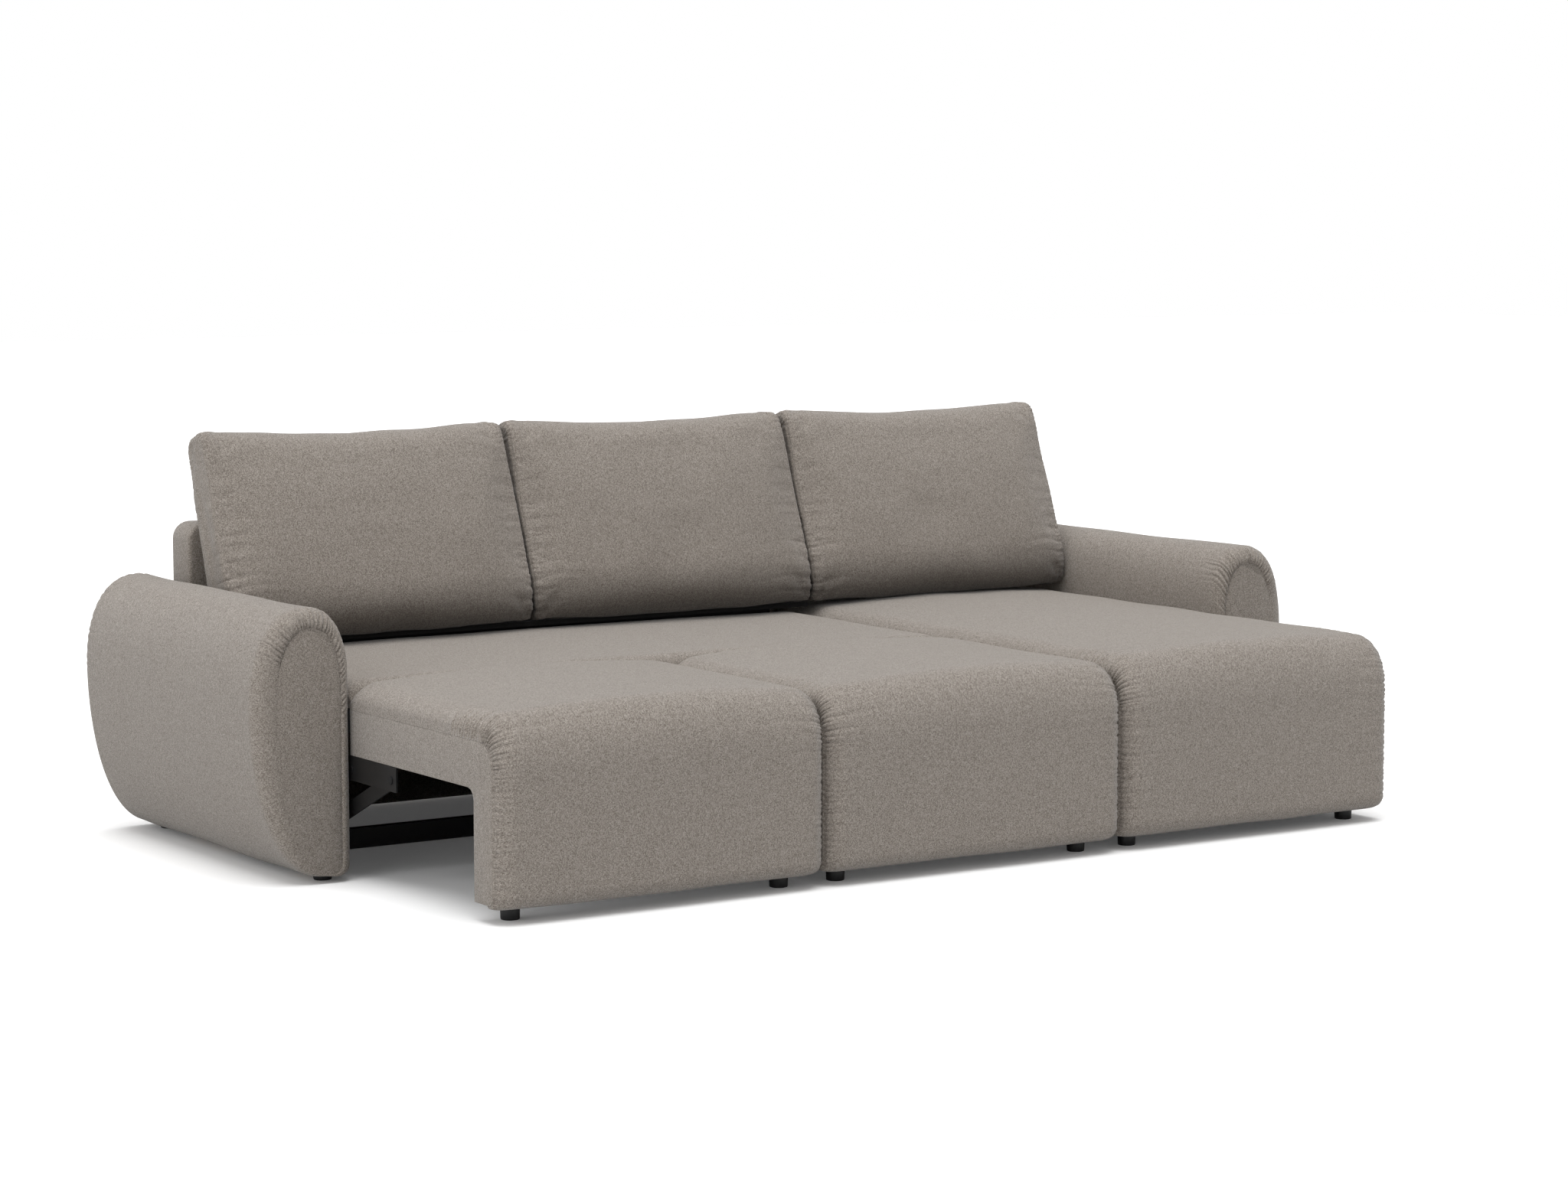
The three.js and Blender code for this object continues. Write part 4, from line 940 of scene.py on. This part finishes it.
def cushion_shape(across, columns):
    """Points of the cushion in its own axes: across, forward and up.

    across holds places along a line over the left side panel, the strip and the right side panel.
    The left seam is at 0 and the right one at the cushion's width.
    """
    view, round_view = cushion_side_view()
    around = np.linspace(0, round_view[-1], columns, endpoint=False)
    forward = np.interp(around, round_view, view[:, 0])[None, :]
    up = np.interp(around, round_view, view[:, 1])[None, :]
    place = across[:, None]
    on_strip = np.clip(place, 0, CUSHION_WIDTH)
    panel_share = 1 - np.abs(place - on_strip) / SIDE_PANEL_REACH
    side = on_strip - CUSHION_WIDTH / 2
    side_share = np.abs(side) / (CUSHION_WIDTH / 2)
    up_share = up / CUSHION_HEIGHT
    heart = np.clip(up, CUSHION_HALF_DEPTH, CUSHION_HEIGHT - CUSHION_HALF_DEPTH)
    from_seam = np.minimum(on_strip, CUSHION_WIDTH - on_strip)
    size = panel_share * (1 - SEAM_PINCH_SHARE * np.exp(-from_seam / PINCH_WIDTH))
    low_middle = np.clip(up_share, 0, 1) ** LOW_CROWN_POWER
    height_share = np.abs(2 * low_middle - 1)
    height_power = np.where(low_middle < HALF, CROWN_POWER_BELOW, CROWN_POWER)
    crown = (1 - side_share ** CROWN_POWER) * (1 - height_share ** height_power)
    facing = np.clip(forward / (FACING_SHARE * CUSHION_HALF_DEPTH), -1, 1)
    in_front = np.clip(facing, 0, 1)
    swelling = np.where(facing > 0, CUSHION_FRONT_CROWN, CUSHION_BACK_CROWN) * facing * crown
    swelling += CUSHION_FULLNESS * in_front * panel_share
    low_part = ramp(up_share, ROLL_FROM, ROLL_FULL)
    swelling += CUSHION_FOOT_ROLL * low_part * in_front * (1 - side_share ** ROLL_POWER)
    dip = CUSHION_TOP_SAG * (1 - side_share ** 2) * ramp(up_share, HALF, 1.0)
    ear = EAR * np.exp(-from_seam / EAR_WIDTH) * ramp(up_share, EAR_FROM, 1.0)
    narrowing = NARROWING * (ramp(up_share, *NARROW_TOP) + ramp(up_share, *NARROW_FOOT))
    points = np.empty(np.broadcast(place, up).shape + (3,))
    puff = CUSHION_SIDE_PUFF * (1 - panel_share ** 2)
    points[..., 0] = side * (1 - narrowing / (CUSHION_WIDTH / 2)) + np.sign(side) * puff
    points[..., 1] = forward * size + swelling
    ahead = np.clip(points[..., 1], 0, None)
    sag = math.tan(CUSHION_LEAN) * ahead + FOOT_SAG * ramp(ahead, 0, SAG_REACH)
    points[..., 2] = heart + (up - heart) * size - dip - ear * panel_share
    points[..., 2] -= sag * ramp(up_share, SAG_FROM, 0.0)
    return points, around


def cushion_place(points, centre):
    """From the cushion's own axes to the room's, leaned back on its foot."""
    lean_sin, lean_cos = math.sin(CUSHION_LEAN), math.cos(CUSHION_LEAN)
    placed = np.empty_like(points)
    placed[..., 0] = centre + points[..., 0]
    placed[..., 1] = CUSHION_FOOT_Y + points[..., 2] * lean_sin - points[..., 1] * lean_cos
    placed[..., 2] = CUSHION_BASE + points[..., 2] * lean_cos + points[..., 1] * lean_sin
    return placed


# %% [markdown]
# The large creases come from a cloth simulation. The grid becomes a closed cloth that is a little
# too long for its seams, air pressure fills it, and the seams are held. Only the way that each
# point has moved is kept, and it is capped, so the cushion keeps its size. A coarse grid is
# enough: the result is laid on the fine one, which then gets its small gathers.

# %% Fill the cushions with a cloth simulation
SIM_ROWS_STRIP = 84
SIM_ROWS_PANEL = 6
SIM_COLUMNS = 128
SIM_FRAMES = 14
SIM_CAP = 24 * MM
SIM_HOLD = 0.07
SIM_SPARE, SIM_SLACK_BACK = 0.03, 0.2
SIM_PATCH = 0.25
SIM_CLOTH = {
    "quality": 5, "mass": 0.3, "tension_stiffness": 15, "compression_stiffness": 15,
    "shear_stiffness": 5, "bending_stiffness": 0.15, "pin_stiffness": 0.5,
    "use_pressure": True, "uniform_pressure_force": 0.5,
}


def inflate(points, held_rows, seed):
    """How far each point of a closed grid moves when it is filled as cloth."""
    rows, columns = points.shape[:2]
    mesh = closed_mesh("filling", points.reshape(-1, 3), tube_faces(rows, columns))
    filling = bpy.data.objects.new("filling", mesh)
    bpy.context.scene.collection.objects.link(filling)
    held = filling.vertex_groups.new(name="seams")
    held.add(range(rows * columns), SIM_HOLD, "REPLACE")
    held.add([row * columns + column for row in held_rows for column in range(columns)], 1.0, "REPLACE")
    loose = filling.vertex_groups.new(name="loose")
    looseness = np.clip(HALF + HALF * slow_waves(points, SIM_PATCH, seed), 0, 1).reshape(-1)
    for index, share in enumerate(looseness):
        loose.add([index], float(share), "REPLACE")
    modifier = filling.modifiers.new("filling", "CLOTH")
    settings = modifier.settings
    for label, value in SIM_CLOTH.items():
        setattr(settings, label, value)
    settings.vertex_group_mass = "seams"
    settings.vertex_group_shrink = "loose"
    settings.shrink_min = -SIM_SLACK_BACK * SIM_SPARE
    settings.shrink_max = -SIM_SPARE
    settings.effector_weights.gravity = 0
    modifier.point_cache.frame_start = 1
    modifier.point_cache.frame_end = SIM_FRAMES
    for frame_number in range(1, SIM_FRAMES + 1):
        bpy.context.scene.frame_set(frame_number)
    filled = filling.evaluated_get(bpy.context.evaluated_depsgraph_get())
    result = np.empty(points.size)
    filled.data.vertices.foreach_get("co", result)
    bpy.data.objects.remove(filling)
    bpy.data.meshes.remove(mesh)
    bpy.context.scene.frame_set(1)
    moved = result.reshape(points.shape) - points
    length = np.linalg.norm(moved, axis=2, keepdims=True)
    print("filled: moved by", round(float(length.mean()) / MM, 1), "mm on average")
    return moved * SIM_CAP * np.tanh(length / SIM_CAP) / np.maximum(length, TINY)


# %% [markdown]
# The fine grid is closest near the seams, where the gathers are. The movement found on the coarse
# grid is read off in between its points.

# %% From the coarse grid to the fine one
PANEL_START, PANEL_POWER = 0.9, 1.6
CLOSE_STEPS, CLOSE_REACH, CLOSE_POWER = 14, 40 * MM, 1.7


def across_places(strip_steps, panel_steps, near_seam=False):
    """Places over the side panel, the strip and the other side panel."""
    power = PANEL_POWER if near_seam else 1
    panel = np.linspace(PANEL_START, 0, panel_steps + 1)[:-1] ** power * SIDE_PANEL_REACH
    strip = np.linspace(0, CUSHION_WIDTH, strip_steps)
    if near_seam:
        close = CLOSE_REACH * np.linspace(0, 1, CLOSE_STEPS) ** CLOSE_POWER
        middle = np.linspace(close[-1], CUSHION_WIDTH - close[-1], strip_steps)[1:-1]
        strip = np.concatenate([close, middle, CUSHION_WIDTH - close[::-1]])
    return np.concatenate([-panel, strip, CUSHION_WIDTH + panel[::-1]])


def lay_on(moved, across_from, across_to, columns_to):
    """The movement of a coarse grid at the places of a fine one."""
    columns_from = moved.shape[1]
    wrapped = np.concatenate([moved, moved[:, :1]], axis=1)
    at = np.linspace(0, columns_from, columns_to, endpoint=False)
    finer = np.empty((len(across_to), columns_to, 3))
    for axis in range(3):
        rows = [np.interp(at, np.arange(columns_from + 1), row) for row in wrapped[..., axis]]
        columns = [np.interp(across_to, across_from, column) for column in np.stack(rows).T]
        finer[..., axis] = np.stack(columns).T
    return finer


# %% [markdown]
# The seams between the strip and the side panels pull in a fine groove. Short gathers stand along
# them, close at the corners and at the foot, and longer creases run in from the lower corners.

# %% Build the back cushions
FINE_STRIP_STEPS, FINE_PANEL_STEPS, CUSHION_COLUMNS = 62, 7, 430
LEDGE_FRONT = 506 * MM
LEDGE_EDGE = (3 * MM, 15 * MM)
BACK_FRONT = 685.6 * MM
BACK_TOP = 720.4 * MM
CUSHION_WAVE, CUSHION_WAVE_SIZE = 1.3 * MM, 0.2
FOOT_PART, TOP_PART = (0.5, 0.12), (0.84, 0.97)
FINE_STRENGTH = (0.4, 0.6)
FINE_FOLDS = {"pitch": 13 * MM, "height": 3 * MM, "reach": 24 * MM}
LONG_CREASES = {"pitch": 31 * MM, "height": 3.8 * MM, "reach": 75 * MM}
GROOVE_DEPTH = 1.7 * SEAM_DEPTH
WAVE_SEED, FAR_SEAM_SEED = 5, 30


def press(points):
    """Keep a cushion off the back's front face and off the ledge, where it is pressed flat.

    In front of the ledge that carries it, the foot may sag a little.
    """
    leans = points[..., 2] < BACK_TOP
    points[..., 1] = np.where(leans, np.minimum(points[..., 1], BACK_FRONT), points[..., 1])
    off_ledge = ramp(points[..., 1], LEDGE_FRONT - LEDGE_EDGE[0], LEDGE_FRONT - LEDGE_EDGE[1])
    points[..., 2] = np.maximum(points[..., 2], CUSHION_BASE + FIT - FOOT_SAG * off_ledge)
    return points


def cushion_folds(shape, across, around, seed):
    """Heights of the slow waves, the folds along both seams and the seams' grooves."""
    up_share = shape[..., 2] / CUSHION_HEIGHT
    foot_side = ramp(up_share, *FOOT_PART)
    corners = FINE_STRENGTH[0] + FINE_STRENGTH[1] * np.maximum(foot_side, ramp(up_share, *TOP_PART))
    along = np.broadcast_to(around[None, :], shape.shape[:2])
    lift = CUSHION_WAVE * slow_waves(shape, CUSHION_WAVE_SIZE, seed + WAVE_SEED)
    for start, from_seam in ((0, across), (FAR_SEAM_SEED, CUSHION_WIDTH - across)):
        away = np.abs(from_seam)[:, None]
        lift += gathers(along, away, corners, **FINE_FOLDS, seed=seed + start)
        lift += gathers(along, away, foot_side, **LONG_CREASES, seed=seed + start + 1)
        lift -= GROOVE_DEPTH * np.exp(-(away / SEAM_WIDTH) ** 2)
    return lift


def build_cushion(name, node, seed):
    low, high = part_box(node)
    across = across_places(FINE_STRIP_STEPS, FINE_PANEL_STEPS, near_seam=True)
    shape, around = cushion_shape(across, CUSHION_COLUMNS)
    coarse_across = across_places(SIM_ROWS_STRIP, SIM_ROWS_PANEL)
    coarse, _ = cushion_shape(coarse_across, SIM_COLUMNS)
    seams = (SIM_ROWS_PANEL, SIM_ROWS_PANEL + SIM_ROWS_STRIP - 1)
    moved = inflate(coarse, seams, seed)
    shape = shape + lay_on(moved, coarse_across, across, CUSHION_COLUMNS)
    normal = grid_normals(shape, wrap=True)
    middle = len(across) // 2
    outward = shape - shape.mean(axis=(0, 1))
    normal *= np.sign(np.sum(normal[middle] * outward[middle] * [0, 1, 1]))
    shape = shape + normal * cushion_folds(shape, across, around, seed)[..., None]
    placed = press(cushion_place(shape, (low.x + high.x) / 2))
    placed[..., 0] = np.clip(placed[..., 0], low.x + SIDE_CLEARANCE, high.x - SIDE_CLEARANCE)
    # The cushion's cloth has painted shade at its foot.
    piece = make_piece(name, placed.reshape(-1, 3), tube_faces(*placed.shape[:2]), "frame", node,
                       material=CUSHION_PAINTED_SHADE_COVER)


for index, place in enumerate(("left", "middle", "right")):
    build_cushion(f"{place}_back_cushion_cover", f"back_cushion_{place}", 401 + 60 * index)

# %% [markdown]
# The back and the boxed frames are boards under a thin cover. Their edges are soft, so the CAD
# shape is copied and every sharp edge is rounded. The inside faces get a black lining, and its
# black also stands in for the shade inside the boxes: painted shade.

# %% Build the covered boards
WELD = 0.01 * MM
FLAT_BELOW, SHARP_ABOVE = math.radians(1.0), math.radians(40)
EDGE_STEPS = 3
BACK_EDGE, BOX_EDGE = 5 * MM, 4 * MM
BOX_WALL, LINING_FOOT = 12 * MM, 2 * MM
HEM_DROP, HEM_HEIGHT = 6 * MM, 12 * MM


def rounded_copy(name, node, body, radius, slot):
    shape = bmesh.new()
    shape.from_mesh(nodes[node].data)
    bmesh.ops.remove_doubles(shape, verts=shape.verts, dist=WELD)
    bmesh.ops.dissolve_limit(shape, angle_limit=FLAT_BELOW, verts=shape.verts, edges=shape.edges)
    sharp = [edge for edge in shape.edges
             if edge.is_manifold and edge.calc_face_angle(0) > SHARP_ABOVE]
    bmesh.ops.bevel(shape, geom=sharp, offset=radius, segments=EDGE_STEPS, profile=HALF,
                    affect="EDGES", clamp_overlap=True)
    bmesh.ops.triangulate(shape, faces=[face for face in shape.faces if len(face.verts) > 4])
    points = [vertex.co.copy() for vertex in shape.verts]
    faces = [tuple(vertex.index for vertex in face.verts) for face in shape.faces]
    shape.free()
    return make_piece(name, points, faces, body, node, slot, sharp=35)


def line_and_shade_inside(piece, node):
    """The lining goes on faces that look into the box from inside its walls. Its black is partly painted
    shade.
    """
    low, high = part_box(node)
    piece.data.materials.append(BLACK_LINING_AND_SHADE)
    for face in piece.data.polygons:
        at = face.center
        between_walls = all(low[i] + BOX_WALL < at[i] < high[i] - BOX_WALL for i in range(2))
        if between_walls and low.z + LINING_FOOT < at.z < high.z - BOX_WALL / 2:
            face.material_index = 1


def drop_hem(piece, node):
    """The cover of the back hangs a little below its board."""
    hem_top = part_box(node)[0].z + HEM_HEIGHT
    for vertex in piece.data.vertices:
        if vertex.co.z < hem_top:
            vertex.co.z -= HEM_DROP


drop_hem(rounded_copy("back_cover", "back_upholstery", "frame", BACK_EDGE, "upholstery"),
         "back_upholstery")
for name, node, body in (("left_seat_box_cover", "module_left_carcass", "front_section"),
                         ("middle_seat_box_cover", "module_middle_carcass", "front_section"),
                         ("chaise_box_cover", "chaise_carcass", "frame")):
    line_and_shade_inside(rounded_copy(name, node, body, BOX_EDGE, "covered_timber"), node)

# %% [markdown]
# The feet are short turned plastic pegs with a softened rim. Each is a ring profile, spun round.

# %% Build the feet
FOOT_RIM, FOOT_TAPER, FOOT_SIDES = 2 * MM, 1.5 * MM, 40
RIM_LOW, RIM_HIGH = 0.3 * FOOT_RIM, 0.4 * FOOT_RIM


def build_foot(node, body):
    low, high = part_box(node)
    centre = (low + high) / 2
    radius = (high.x - low.x) / 2
    foot_radius = radius - FOOT_TAPER
    profile = [(foot_radius - FOOT_RIM, low.z), (foot_radius - RIM_LOW, low.z + RIM_LOW),
               (foot_radius, low.z + FOOT_RIM), (radius, high.z - FOOT_RIM),
               (radius - RIM_HIGH, high.z)]
    points = [(centre.x + ring * math.cos(turn), centre.y + ring * math.sin(turn), z)
              for ring, z in profile for turn in np.linspace(0, TURN, FOOT_SIDES, endpoint=False)]
    make_piece(f"{node}_peg", points, tube_faces(len(profile), FOOT_SIDES), body, node,
               "black_plastic", FOOT_PLASTIC, sharp=50)


bodies_of_nodes = {node: body for body, members in frame["record"]["behaviour"]["bodies"].items()
                   for node in members}
for node in sorted(nodes):
    if "_foot_" in node:
        build_foot(node, bodies_of_nodes[node])

# %% [markdown]
# The stage is a wide pale floor that keeps the shadow, and a world that is plain white to the
# camera. To the camera the floor also glows faintly: painted light that lifts its shadow. A wide
# soft lamp hangs over the sofa, and a weaker one stands to its left.

# %% Floor, world and lamps
FLOOR_HALF = 30
# FLOOR_GLOW is painted light: a faint glow, seen only by the camera, that lifts the floor's shadow.
FLOOR_TONE, FLOOR_GLOW = 0.65, 0.055
WORLD_DIM = 0.58
WHITE = (1, 1, 1, 1)


def build_floor():
    mesh = bpy.data.meshes.new("floor")
    corners = [(-1, -1), (1, -1), (1, 1), (-1, 1)]
    mesh.from_pydata([(FLOOR_HALF * x, FLOOR_HALF * y, 0) for x, y in corners], [], [(0, 1, 2, 3)])
    material, tree, shader = principled("pale_floor")
    seen = outputs_of(tree, "LightPath", {})["Is Camera Ray"]
    set_inputs(tree, shader, {
        "Base Color": mix_colours(tree, seen, (FLOOR_TONE, FLOOR_TONE, FLOOR_TONE, 1), WHITE),
        "Roughness": 0.9, "Specular IOR Level": 0.1, "Emission Color": WHITE,
        "Emission Strength": maths(tree, "MULTIPLY", seen, FLOOR_GLOW)})
    mesh.materials.append(material)
    floor = bpy.data.objects.new("floor", mesh)
    bpy.context.scene.collection.objects.link(floor)


def build_world():
    world = bpy.data.worlds.new("studio")
    world.use_nodes = True
    tree = world.node_tree
    tree.nodes.clear()
    path = outputs_of(tree, "LightPath", {})
    seen = maths(tree, "MAXIMUM", path["Is Camera Ray"], path["Is Glossy Ray"])
    seen = maths(tree, "MAXIMUM", seen, path["Is Transmission Ray"])
    dim = outputs_of(tree, "Background", {"Color": WHITE, "Strength": WORLD_DIM})[0]
    plain = outputs_of(tree, "Background", {"Color": WHITE, "Strength": 1.0})[0]
    mixed = outputs_of(tree, "MixShader", {0: seen, 1: dim, 2: plain})[0]
    outputs_of(tree, "OutputWorld", {"Surface": mixed})
    bpy.context.scene.world = world


def add_lamp(name, toward, spread, strength):
    """A lamp like a wide softbox a long way off, which lights the floor evenly."""
    data = bpy.data.lights.new(name, "SUN")
    data.energy = strength
    data.angle = math.radians(spread)
    lamp = bpy.data.objects.new(name, data)
    lamp.rotation_euler = Vector(toward).to_track_quat("-Z", "Y").to_euler()
    bpy.context.scene.collection.objects.link(lamp)
    print("lamp:", name, strength)


build_floor()
build_world()
add_lamp("overhead", (0.05, 0.12, -1), 50, 2.3)
add_lamp("left_fill", (1, 0.2, -0.35), 60, 0.9)

# %% [markdown]

# %% Finish
import json
